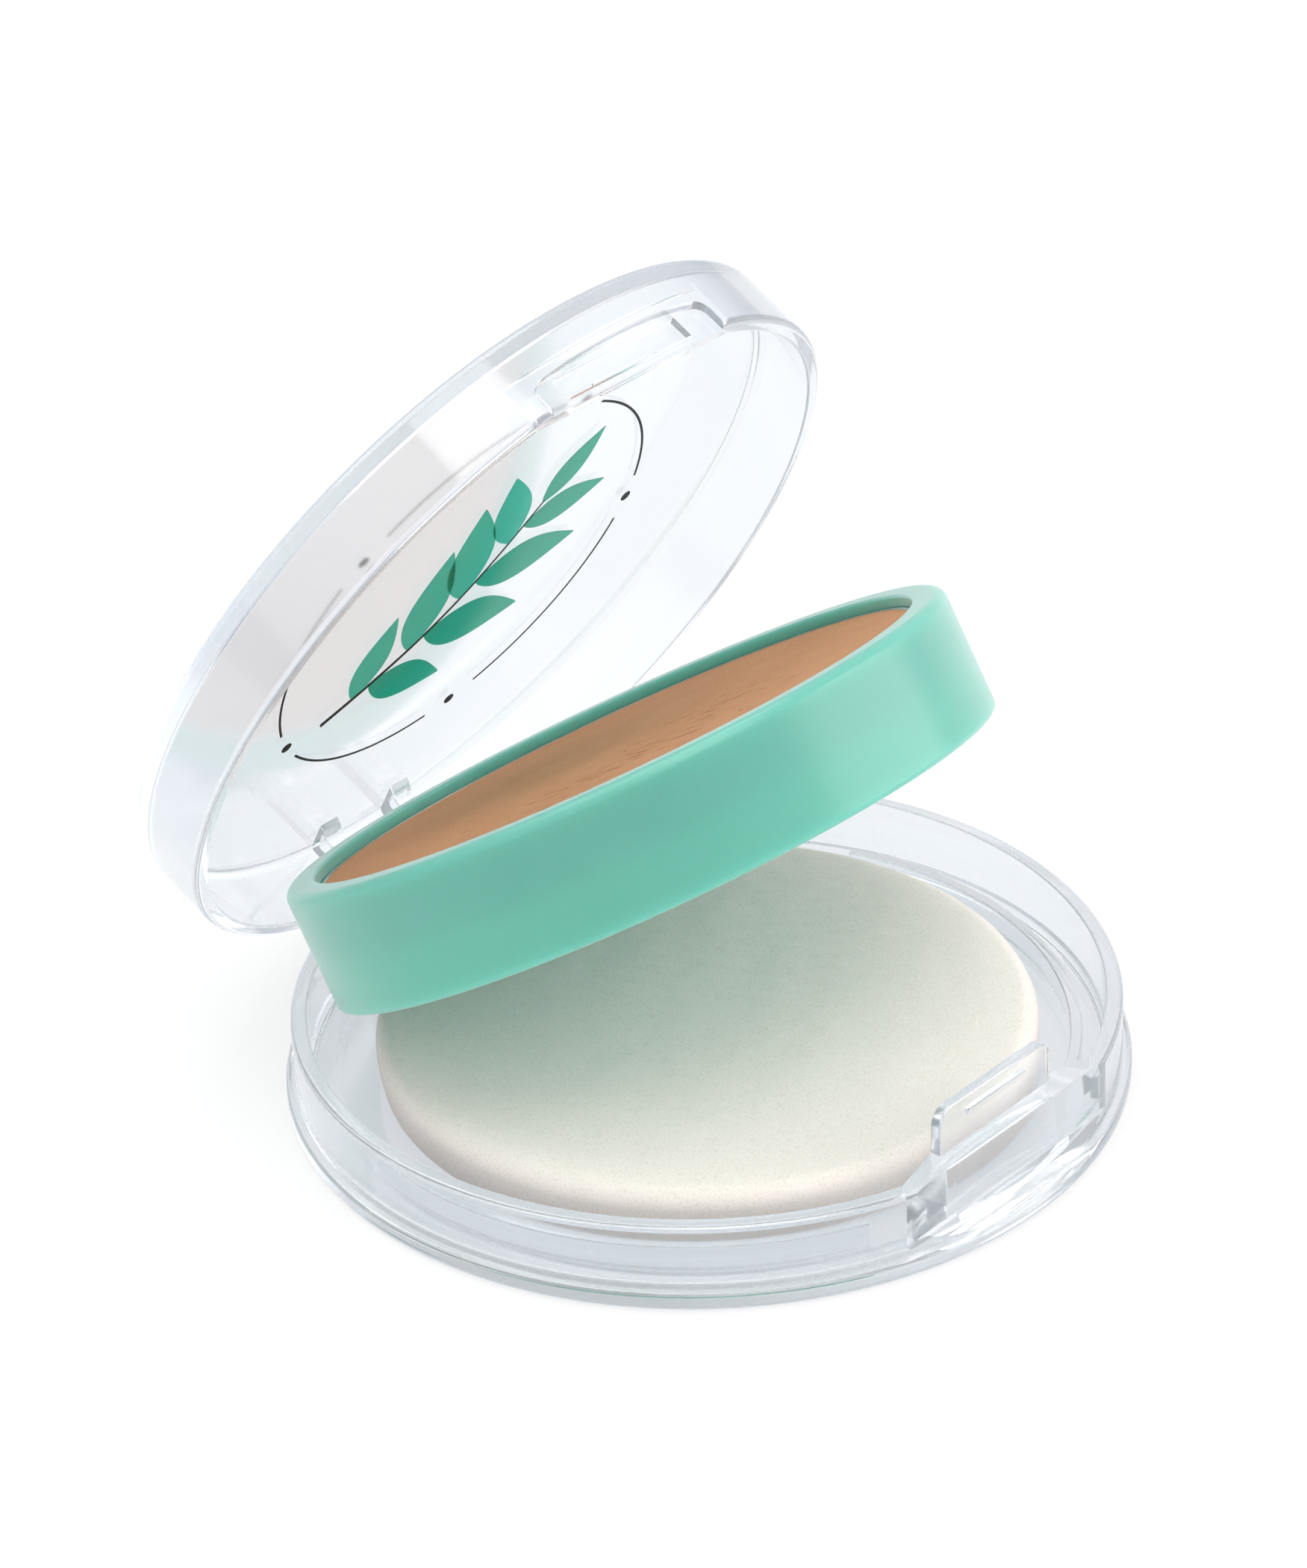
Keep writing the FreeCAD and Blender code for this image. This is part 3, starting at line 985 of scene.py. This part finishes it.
    def cuts(self) -> list[Solid]:
        """Makes the tools that cut the dish.

        Returns:
            Tools for the thumb notch, the scoop under it, the hinge window and the swing of the lid.
        """
        hinge = self.hinge
        notch = block((-FAR, FAR), (-FAR, -self.front_flat), (self.ledge, FAR))
        scoop = plate(circle(self.scoop_radius, self.scoop_y, self.scoop_z, self.scoop_steps), Axis.X, -FAR, FAR)
        window = block((-hinge.window_half, hinge.window_half), (hinge.y - hinge.ear_radius, FAR),
                       (self.sill_z, FAR))
        swing = Solid(block((-FAR, FAR), (hinge.y, FAR), (self.foot_back_z, FAR)))
        swing.worked(Join.CUT, [Solid(hinge.rod(hinge.swing_radius, -self.radius, self.radius))])
        return [Solid(notch), Solid(scoop), Solid(window), swing]

    def build(self) -> None:
        """Builds the base dish."""
        hinge = self.hinge
        dish = self.shell().worked(Join.ADD, [self.front()] + self.fences())
        dish.worked(Join.CUT, self.cuts())
        dish.worked(Join.ADD, self.latch() + self.knuckles())
        bore_radius = hinge.pin_radius + hinge.press_gap
        spans = mirrored(hinge.pin_inner_end - hinge.press_gap, FAR)
        dish.worked(Join.CUT, [Solid(hinge.rod(bore_radius, *span)) for span in spans])
        finished(dish.mesh, "base_dish", Body.BASE, hinge, CLEAR, "base_shell")


@dataclass(frozen=True)
class Lid(ClearShell):
    """Clear lid with a thumb notch, a catch wall and two hinge arms."""

    rim_z: float = 7.05
    inside_z: float = 13.05
    top_z: float = 14.25
    edge_round: float = 0.8
    notch_half: float = 9.2
    notch_height: float = 3.0
    notch_rise: float = 0.35
    notch_corner: float = 1.1
    catch_wall: float = 1.0
    catch_half: float = 6.5
    catch_lip: float = 0.75
    catch_height: float = 2.0
    catch_depth: float = 0.6
    bead_proud: float = 0.12
    bead_rise: float = 1.1
    arm_root_inset: float = 2.4
    arm_taper_height: float = 1.15

    def shell(self) -> Solid:
        """Turns the cap.

        Returns:
            The cap before its notch, catch and arms.
        """
        inner = self.radius - self.wall
        return lathe([
            (0, self.inside_z, 0),
            (inner, self.inside_z, self.corner_round),
            (inner, self.rim_z, self.rim_inner_round),
            (self.radius, self.rim_z, self.rim_outer_round),
            (self.radius, self.top_z, self.edge_round),
            (0, self.top_z, 0),
        ])

    def pocket(self) -> list[Solid]:
        """Makes the catch behind the thumb notch.

        Returns:
            The catch wall, trimmed to the inside of the cap, and the bead along it.
        """
        inside = self.front_flat - self.catch_wall
        half = self.notch_half + self.catch_wall
        top = self.rim_z + self.notch_height + self.catch_wall
        outline = rectangle(-half, half, self.rim_z, top)
        wall = Solid(plate(outline, Axis.Y, -self.radius, -inside, self.edge))
        bead_y = -(inside - self.bead_proud + self.bead_radius)
        bead = capsule(self.bead_radius, self.bead_half, bead_y, self.rim_z + self.bead_rise)
        return [wall.worked(Join.KEEP, [self.limit()]), Solid(bead)]

    def cuts(self) -> list[Solid]:
        """Makes the tools that cut the cap.

        Returns:
            Tools for the arched thumb notch and the catch window behind it.
        """
        top = self.rim_z + self.notch_height
        arch = (self.notch_half - 2 * self.notch_corner) * self.notch_half / self.notch_rise
        low = self.rim_z - self.notch_rise
        shoulder = top - self.notch_rise
        outline = rounded([
            (-self.notch_half, low, 0),
            (self.notch_half, low, 0),
            (self.notch_half, shoulder, self.notch_corner),
            (0, top, arch),
            (-self.notch_half, shoulder, self.notch_corner),
        ])
        notch = plate(outline, Axis.Y, -FAR, -self.front_flat)
        window_low = self.rim_z + self.catch_lip
        window = block((-self.catch_half, self.catch_half), (-FAR, self.catch_depth - self.front_flat),
                       (window_low, window_low + self.catch_height))
        return [Solid(notch), Solid(window)]

    def arms(self) -> list[Solid]:
        """Makes the arms along the back wall, from the plate down to their barrels on the hinge.

        Returns:
            Two arms, trimmed to the inside of the cap.
        """
        hinge = self.hinge
        root_y = hinge.y - self.arm_root_inset
        front_y = hinge.y - hinge.barrel_radius
        back_y = hinge.y + hinge.barrel_radius
        root_z = (self.inside_z + self.top_z) / 2
        outline = np.array([
            (front_y, hinge.z), (back_y, hinge.z), (back_y, root_z), (root_y, root_z),
            (root_y, self.inside_z), (front_y, self.inside_z - self.arm_taper_height),
        ])
        made = []
        for low, high in mirrored(hinge.arm_start, hinge.arm_end):
            arm = Solid(plate(outline, Axis.X, low, high, self.edge))
            hinge.knuckle(arm, hinge.barrel_radius, low, high)
            made.append(arm.worked(Join.KEEP, [self.limit()]))
        return made

    def build(self) -> None:
        """Builds the lid."""
        cap = self.shell().worked(Join.ADD, self.pocket() + self.arms())
        cap.worked(Join.CUT, self.cuts() + [self.hinge.bore()])
        finished(cap.mesh, "lid_cap", Body.LID, self.hinge, CLEAR, "lid_shell")


@dataclass(frozen=True)
class PowderTray:
    """Mint tray with its pan of pressed powder.

    The drag marks lie about their middle along Y and within their reach along X, all as (low, high) or
    (mean, deviation) pairs in millimetres and degrees.
    """

    hinge: Hinge
    shift: float = 0.25
    radius: float = 27.6
    skirt_radius: float = 26.5
    opening_radius: float = 25.0
    bottom_z: float = 1.95
    top_z: float = 11.95
    deck_z: float = 6.4
    recess_z: float = 7.5
    edge_round: float = 0.5
    rim_round: float = 0.9
    lip_round: float = 0.25
    pan_radius: float = 24.85
    pan_wall: float = 0.35
    pan_low: float = 7.7
    pan_high: float = 11.0
    pan_corner: float = 0.6
    powder_top: float = 10.95
    powder_rings: int = 220
    drag_seed: int = 7
    drags: int = 72
    drag_depth: float = 0.07
    drag_reach: Pair = (-15.0, 9.0)
    drag_middle: Pair = (-7.0, 4.0)
    drag_heading: Pair = (-76.0, 9.0)
    drag_length: Pair = (0.3, 1.0)
    drag_width: Pair = (0.09, 0.16)
    drag_strength: Pair = (0.2, 0.9)

    def shell(self) -> Solid:
        """Turns the tray.

        Returns:
            The tray, with the recess for the pan above and the hollow for the sponge below.
        """
        return lathe([
            (0, self.deck_z, 0),
            (self.skirt_radius, self.deck_z, self.edge_round),
            (self.skirt_radius, self.bottom_z, self.lip_round),
            (self.radius, self.bottom_z, self.edge_round),
            (self.radius, self.top_z, self.rim_round),
            (self.opening_radius, self.top_z, self.lip_round),
            (self.opening_radius, self.recess_z, self.lip_round),
            (0, self.recess_z, 0),
        ], self.shift)

    def knuckles(self) -> list[Solid]:
        """Makes the straps from the skirt to the hinge.

        Returns:
            Two straps with their barrels, hollowed as the skirt is.
        """
        hinge = self.hinge
        radius = hinge.barrel_radius
        made = []
        for low, high in mirrored(hinge.tray_start, hinge.tray_end):
            strap = Solid(block((low, high), (0, hinge.y), (hinge.z - radius, hinge.z + radius)))
            strap.worked(Join.CUT, [disc(self.skirt_radius, self.bottom_z, self.deck_z, self.shift)])
            made.append(hinge.knuckle(strap, radius, low, high))
        return made

    def pan(self) -> Solid:
        """Turns the thin drawn pan.

        Returns:
            The pan, open at the top.
        """
        inner = self.pan_radius - self.pan_wall
        floor = self.pan_low + self.pan_wall
        return lathe([
            (0, self.pan_low, 0),
            (self.pan_radius, self.pan_low, self.pan_corner),
            (self.pan_radius, self.pan_high, 0),
            (inner, self.pan_high, 0),
            (inner, floor, self.pan_corner - self.pan_wall),
            (0, floor, 0),
        ], self.shift)

    def drag_marks(self, x: np.ndarray, y: np.ndarray) -> np.ndarray:
        """Short marks that a dragged sponge left in the powder.

        Each mark is strength exp(-(along/length)^2 - (across/width)^2) about its own place and heading.

        Args:
            x: Places across the cake.
            y: Places from the middle of the cake towards the hinge.

        Returns:
            Depth of the marks at each place, from 0 to about 1.
        """
        draw = np.random.default_rng(self.drag_seed)
        away_x = x[:, None] - draw.uniform(*self.drag_reach, self.drags)
        away_y = y[:, None] - draw.normal(*self.drag_middle, self.drags)
        heading = np.radians(draw.normal(*self.drag_heading, self.drags))
        length = draw.uniform(*self.drag_length, self.drags)
        width = draw.uniform(*self.drag_width, self.drags)
        strength = draw.uniform(*self.drag_strength, self.drags)
        along = (away_x * np.cos(heading) + away_y * np.sin(heading)) / length
        across = (away_y * np.cos(heading) - away_x * np.sin(heading)) / width
        return np.sum(strength * np.exp(-along ** 2 - across ** 2), axis=1)

    def powder(self) -> bpy.types.Mesh:
        """Turns the pressed powder, whose face sinks along its drag marks.

        Returns:
            The mesh, with the marks kept as an attribute, which also paints shade into them.
        """
        edge = self.pan_radius - self.pan_wall
        floor = self.pan_low + self.pan_wall
        radii = edge * np.sqrt(np.linspace(0, 1, self.powder_rings))[::-1]
        face = np.stack([radii, np.full(len(radii), self.powder_top)], axis=-1)
        under = rounded([(0, floor, 0), (edge, floor, self.pan_corner - self.pan_wall),
                         (edge, self.powder_top, 0)], closed=False)[:-1]
        skin = turned(np.concatenate([under, face]), self.shift)
        x, y, z = skin.points.T
        marks = np.where(z > self.powder_top - GUARD, self.drag_marks(x, y - self.shift), 0.0)
        skin.points[:, 2] -= self.drag_depth * marks
        mesh = skin.mesh("powder")
        mesh.attributes.new(CREASE_SHADE, "FLOAT", "POINT").data.foreach_set("value", np.clip(marks, 0, 1))
        return mesh

    def build(self) -> None:
        """Builds the tray, the pan and the powder."""
        hinge = self.hinge
        tray = self.shell().worked(Join.ADD, self.knuckles())
        tray.worked(Join.CUT, [hinge.bore()])
        finished(tray.mesh, "powder_tray", Body.TRAY, hinge, MINT, "tray_shell")
        finished(self.pan().mesh, "powder_tin", Body.TRAY, hinge, ALUMINIUM, "powder_pan")
        finished(self.powder(), "powder_disc", Body.TRAY, hinge, POWDER, "powder_cake")


@dataclass(frozen=True)
class SpongePad:
    """Round cream sponge with a flat underside, bulging side, rounded edge and crowned top."""

    hinge: Hinge
    radius: float = 25.6
    low: float = 1.37
    high: float = 5.95
    crown: float = 0.55
    edge: float = 1.5
    bulge: float = 0.35
    rings: int = 150
    side_rings: int = 26
    foot_rings: int = 8
    waves: int = 60
    wave_seed: int = 11
    wave_length: Pair = (1.5, 9.0)
    wave_height: float = 0.02
    fill: float = 0.85

    def section(self) -> np.ndarray:
        """Works out the half section: flat foot, side swelling as a quarter sine, quarter-round edge, crowned cap.

        Returns:
            (r, z) points from the axis to the axis.
        """
        foot = self.radius - self.bulge
        shoulder = self.high - self.crown
        side_top = shoulder - self.edge
        rise = np.linspace(0, 1, self.side_rings)
        side = np.stack([foot + self.bulge * np.sin(math.pi / 2 * rise),
                         self.low + (side_top - self.low) * rise], axis=-1)
        turn = np.linspace(0, math.pi / 2, self.side_rings)[1:]
        reach = self.radius - self.edge
        quarter = np.stack([reach + self.edge * np.cos(turn), side_top + self.edge * np.sin(turn)], axis=-1)
        radii = np.linspace(reach, 0, self.rings)[1:]
        cap = np.stack([radii, shoulder + self.crown * (1 - (radii / reach) ** 2)], axis=-1)
        inwards = np.linspace(0, foot, self.foot_rings)[:-1]
        base = np.stack([inwards, np.full(len(inwards), self.low)], axis=-1)
        return np.concatenate([base, side, quarter, cap])

    def build(self) -> None:
        """Builds the sponge, whose face is uneven by a sum of plane waves, height cos(k.p + phase)."""
        skin = turned(self.section())
        draw = np.random.default_rng(self.wave_seed)
        length = draw.uniform(*self.wave_length, self.waves)
        heading = draw.uniform(0, 2 * math.pi, self.waves)
        phase = draw.uniform(0, 2 * math.pi, self.waves)
        x, y, z = skin.points.T
        along = x[:, None] * np.cos(heading) + y[:, None] * np.sin(heading)
        swell = np.sum(np.cos(2 * math.pi * along / length + phase), axis=1) / math.sqrt(self.waves)
        raised = np.clip((z - self.low) / self.edge, 0, 1)
        skin.points[:, 2] += self.wave_height * raised * (swell - np.max(swell))
        sponge = finished(skin.mesh("sponge"), "sponge_pad", Body.BASE, self.hinge, FOAM, "sponge")


@dataclass(frozen=True)
class PrintedSprig:
    """Generic leafy sprig printed on the inside of the lid."""

    hinge: Hinge
    surface_z: float = 13.05
    lift: float = 0.004
    thickness: float = 0.03
    stem_start: Pair = (-11.6, 10.4)
    stem_end: Pair = (6.4, -6.2)
    stem_bow: float = 2.2
    stem_half: float = 0.22
    stem_taper: Pair = (1.2, 0.8)
    stem_points: int = 41
    stem_step: float = 0.01
    leaf_pairs: int = 4
    leaf_span: Pair = (0.16, 0.86)
    leaf_stagger: float = 0.035
    leaf_splay: float = 52.0
    leaf_size: Pair = (0.62, 0.38)
    leaf_length: float = 12.0
    leaf_half: float = 2.7
    leaf_bluntness: float = 0.85
    leaf_taper: Pair = (1.15, 0.55)
    leaf_points: int = 26
    tip_size: float = 0.66
    ring_radius: float = 18.6
    ring_half: float = 0.11
    ring_arcs: int = 5
    ring_gap: float = 16.0
    dot_radius: float = 0.5
    dot_steps: int = 28

    def stem_point(self, share: np.ndarray) -> np.ndarray:
        """Follows the bowed stem: the straight line plus bow sin(pi share) at right angles to it.

        Args:
            share: Shares of the stem's length.

        Returns:
            A point for each share.
        """
        start, end = np.array(self.stem_start), np.array(self.stem_end)
        along = unit(end - start)
        bow = self.stem_bow * np.sin(math.pi * share)
        return start + np.outer(share, end - start) + np.outer(bow, (-along[1], along[0]))

    def film_levels(self) -> Pair:
        """Heights of the lower and upper face of the ink."""
        high = self.surface_z - self.lift
        return high - self.thickness, high

    def film(self, outline: np.ndarray) -> Skin:
        """Thin film of ink with that outline, a hair under the plate of the lid."""
        return plate(outline, Axis.Z, *self.film_levels())

    def leaf(self, root: np.ndarray, heading: float, size: float) -> np.ndarray:
        """Draws a pointed leaf, of half width size w sin(pi s)^b (t0 - t1 s) at the share s of its length.

        Args:
            root: Where it leaves the stem.
            heading: Direction that it points in, in radians.
            size: Its scale.

        Returns:
            Outline points.
        """
        share = np.linspace(0, 1, self.leaf_points)
        taper = self.leaf_taper[0] - self.leaf_taper[1] * share
        width = self.leaf_half * size * np.sin(math.pi * share) ** self.leaf_bluntness * taper
        along = self.leaf_length * size * share
        left, right = (np.stack([along, side * width], axis=-1)[1:-1] for side in (1, -1))
        shape = np.concatenate([[[0.0, 0.0]], right, [[along[-1], 0.0]], left[::-1]])
        turn = np.array([[math.cos(heading), math.sin(heading)], [-math.sin(heading), math.cos(heading)]])
        return root + shape @ turn

    def leaves(self, side: int) -> Skin:
        """Prints the leaves along one side of the stem, larger in the middle.

        Args:
            side: 1 for the side that gets the tip leaf, or -1.

        Returns:
            Films of all its leaves.
        """
        least, more = self.leaf_size
        shares = np.linspace(*self.leaf_span, self.leaf_pairs) + self.leaf_stagger * side
        row = [(share, side * math.radians(self.leaf_splay), least + more * math.sin(math.pi * share))
               for share in shares]
        if side > 0:
            row.append((1 - self.stem_step, 0.0, self.tip_size))
        films = []
        for share, splay, size in row:
            root, ahead = self.stem_point(np.array([share, share + self.stem_step]))
            along = math.atan2(*(ahead - root)[::-1])
            films.append(self.film(self.leaf(root, along + splay, size)))
        return gathered(films)

    def lines(self) -> Skin:
        """Prints the stem as a tapering ribbon, and a broken ring with dots in its gaps.

        Returns:
            Films of all the lines and dots.
        """
        share = np.linspace(0, 1, self.stem_points)
        path = self.stem_point(share)
        along = np.gradient(path, axis=0)
        across = np.stack([-along[:, 1], along[:, 0]], axis=-1)
        across /= np.linalg.norm(across, axis=1, keepdims=True)
        half = (self.stem_half * (self.stem_taper[0] - self.stem_taper[1] * share))[:, None]
        films = [self.film(np.concatenate([path + half * across, (path - half * across)[::-1]]))]
        section = rectangle(self.ring_radius - self.ring_half, self.ring_radius + self.ring_half,
                            *self.film_levels())
        sector = 360.0 / self.ring_arcs
        for number in range(self.ring_arcs):
            start = number * sector + self.ring_gap / 2
            films.append(carried_round(section, start, sector - self.ring_gap))
            spot = math.radians(number * sector)
            centre = (self.ring_radius * math.cos(spot), self.ring_radius * math.sin(spot))
            films.append(self.film(circle(self.dot_radius, *centre, self.dot_steps)))
        return gathered(films)

    def build(self) -> None:
        """Builds the print: leaves in two greens, and charcoal lines."""
        for name, skin, ink in (("sprig_leaves_deep", self.leaves(1), LEAF_INK),
                                ("sprig_leaves_pale", self.leaves(-1), SHOOT_INK),
                                ("sprig_lines", self.lines(), LINE_INK)):
            finished(skin.mesh(name), name, Body.LID, self.hinge, ink)


@dataclass(frozen=True)
class Hardware:
    """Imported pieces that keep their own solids: the hinge pins and the glue under the pan."""

    finishes: tuple[tuple[str, Finish], ...] = (
        ("hinge_pin_left", STEEL), ("hinge_pin_right", STEEL), ("pan_glue", GLUE))

    def dress(self) -> None:
        """Gives each node its finish."""
        for node, finish in self.finishes:
            for holder in frame["nodes"][node].material_slots:
                holder.material = finish.material()
            LOG.info("%s: %s", node, finish.name)


def view_shares(tree: Tree) -> tuple[Socket, Socket]:
    """Adds nodes that tell the backdrop from the lighting.

    Args:
        tree: Tree of the floor or the room.

    Returns:
        An output that is 1 where a surface is seen directly, and one that is 1 where it is seen directly, mirrored
        or through glass. Both are 0 where it lights others.
    """
    light = add_node(tree, "LightPath")
    direct, *others = (light.outputs[ray.value] for ray in Ray)
    seen = direct
    for other in others:
        seen = add_node(tree, "Math", LARGER, links={0: seen, 1: other}).outputs[0]
    return direct, seen


@dataclass(frozen=True)
class MattPaper(Finish):
    """Matt white paper. Where it is seen it glows white, less so near the part, where it keeps its shadow."""

    paper: str = "#F7F7F7"
    white: str = "#FFFFFF"
    in_glass: str = "#F4F7FB"
    glow: Pair = (0.72, 1.0)
    glow_in_glass: Pair = (0.7, 0.92)
    shade_near: float = 130.0
    shade_far: float = 420.0

    def dress(self, tree: Tree, place: Socket) -> dict:
        """Matt and glowing paper, mixed by how it is seen and by its distance from the part.

        Args:
            tree: Tree that gets the nodes.
            place: Object coordinates, in metres.

        Returns:
            The surface.
        """
        direct, seen = view_shares(tree)
        reach = add_node(tree, "VectorMath", {"operation": "LENGTH"}, links={0: place})
        bare, glass = (
            add_node(tree, "MapRange", SMOOTH, {
                FROM_LOW: self.shade_near * MM, FROM_HIGH: self.shade_far * MM, TO_LOW: near, TO_HIGH: far},
                {0: reach.outputs["Value"]}) for near, far in (self.glow, self.glow_in_glass))
        only_seen = add_node(tree, "Math", {"operation": "MULTIPLY"}, links={0: glass.outputs[0], 1: seen})
        share = add_node(tree, "Mix", {"data_type": "FLOAT"}, links={
            0: direct, FLOAT_LOW: only_seen.outputs[0], FLOAT_HIGH: bare.outputs[0]})
        matt = add_node(tree, "BsdfDiffuse", values={"Color": linear(self.paper)})
        tint = add_node(tree, "Mix", RGBA, {MIX_LOW: linear(self.in_glass), MIX_HIGH: linear(self.white)},
                        {0: direct})
        glow = add_node(tree, "Emission", values={"Strength": 1.0}, links={"Color": tint.outputs[MIX_OUT]})
        mixed = add_node(tree, "MixShader", links={0: share.outputs[0], 1: matt.outputs[0], 2: glow.outputs[0]})
        return {"Surface": mixed.outputs[0]}


@dataclass(frozen=True)
class Lamp:
    """Round soft lamp that points at the part: its place and width in millimetres, and its power in watts."""

    name: str
    place: Triple
    width: float
    power: float

    def build(self) -> None:
        """Hangs the lamp."""
        data = bpy.data.lights.new(self.name, "AREA")
        data.shape = "DISK"
        data.size = self.width * MM
        data.energy = self.power
        lamp = placed(self.name, data)
        lamp.location = Vector(self.place) * MM
        lamp.rotation_euler = (-lamp.location).to_track_quat("-Z", "Y").to_euler()


@dataclass(frozen=True)
class Studio:
    """White paper floor, a soft bright room and the camera."""

    paper: Finish = MattPaper("white paper, matt", None)
    floor_half: float = 3000.0
    floor_drop: float = 0.02
    room_top: str = "#FFFFFF"
    room_rim: str = "#F0F1F5"
    room_strength: float = 0.64
    room_rise: float = 0.75
    backdrop_rim: str = "#BCC0CB"
    lamps: tuple[Lamp, ...] = (
        Lamp("back lamp", (0.0, 330.0, 640.0), 700.0, 2.7),
        Lamp("top lamp", (-100.0, -200.0, 660.0), 420.0, 1.1),
        Lamp("front lamp", (440.0, -460.0, 240.0), 640.0, 2.7),
        Lamp("side lamp", (-500.0, -100.0, 350.0), 800.0, 0.8),
    )
    focal_pixels: float = 7009.167
    picture_height: float = 2100.0
    sensor_height: float = 36.0
    azimuth: float = -46.869
    elevation: float = 30.132
    distance: float = 398.462
    target: Triple = (1.019, 5.494, 22.681)
    roll: float = -2.553
    clip_start: float = 10.0
    bounces: int = 96

    def floor(self) -> None:
        """Wide sheet of white paper just under the part."""
        half = self.floor_half * MM
        outline = rectangle(-half, half, -half, half)
        points = np.column_stack([outline, np.full(len(outline), -self.floor_drop * MM)])
        mesh = Skin(points, [np.arange(len(outline))[None]]).mesh("paper_floor")
        mesh.materials.append(self.paper.material())
        placed("paper_floor", mesh)

    def room(self) -> None:
        """Soft room, white overhead and greyer at its rim; all white seen directly, with a darker rim in glass."""
        world = bpy.data.worlds.new("soft room")
        tree = cleared(world)
        direct, seen = view_shares(tree)
        coordinates = add_node(tree, "TexCoord")
        parts = add_node(tree, "SeparateXYZ", links={0: coordinates.outputs["Generated"]})
        rise = add_node(tree, "MapRange", SMOOTH, {FROM_LOW: 0.0, FROM_HIGH: self.room_rise},
                        {0: parts.outputs["Z"]})
        share = add_node(tree, "Math", LARGER, links={0: rise.outputs[0], 1: direct})
        skies = {0: seen}
        rims = (self.room_rim, self.room_strength), (self.backdrop_rim, 1.0)
        for socket, (rim, strength) in enumerate(rims, 1):
            colour = add_node(tree, "Mix", RGBA, {MIX_LOW: linear(rim), MIX_HIGH: linear(self.room_top)},
                              {0: share.outputs[0]})
            sky = add_node(tree, "Background", values={"Strength": strength},
                           links={"Color": colour.outputs[MIX_OUT]})
            skies[socket] = sky.outputs[0]
        mixed = add_node(tree, "MixShader", links=skies)
        add_node(tree, "OutputWorld", links={"Surface": mixed.outputs[0]})
        bpy.context.scene.world = world

    def camera(self) -> None:
        """Camera at the picture's viewing angle: on a sphere about the target, turned by its roll."""
        side = math.radians(self.azimuth)
        lift = math.radians(self.elevation)
        back = Vector((math.sin(side) * math.cos(lift), -math.cos(side) * math.cos(lift), math.sin(lift)))
        right = Vector((math.cos(side), math.sin(side), 0))
        up = back.cross(right)
        tilt = math.radians(self.roll)
        turned_right = math.cos(tilt) * right + math.sin(tilt) * up
        turned_up = math.cos(tilt) * up - math.sin(tilt) * right
        data = bpy.data.cameras.new("camera")
        data.sensor_fit = "VERTICAL"
        data.sensor_height = self.sensor_height
        data.lens = self.focal_pixels * self.sensor_height / self.picture_height
        data.clip_start = self.clip_start * MM
        eye = placed("camera", data)
        place = Matrix((turned_right, turned_up, back)).transposed().to_4x4()
        place.translation = (Vector(self.target) + back * self.distance) * MM
        eye.matrix_world = place
        bpy.context.scene.camera = eye

    def build(self) -> None:
        """Sets up floor, light, camera and view transform, with bounces enough for light caught in clear walls."""
        self.floor()
        self.room()
        for lamp in self.lamps:
            lamp.build()
        self.camera()
        scene = bpy.context.scene
        scene.view_settings.view_transform = "Standard"
        for kind in ("max", "transmission", "glossy"):
            setattr(scene.cycles, kind + "_bounces", self.bounces)


def main() -> None:
    """Builds the compact piece by piece, then the studio."""
    logging.basicConfig(level=logging.INFO, format="%(name)s: %(message)s")
    hinge = Hinge.of_frame(frame["joints"])
    BaseDish(hinge).build()
    SpongePad(hinge).build()
    PowderTray(hinge).build()
    Lid(hinge).build()
    PrintedSprig(hinge).build()
    Hardware().dress()
    Studio().build()


if __name__ == "__main__":
    main()
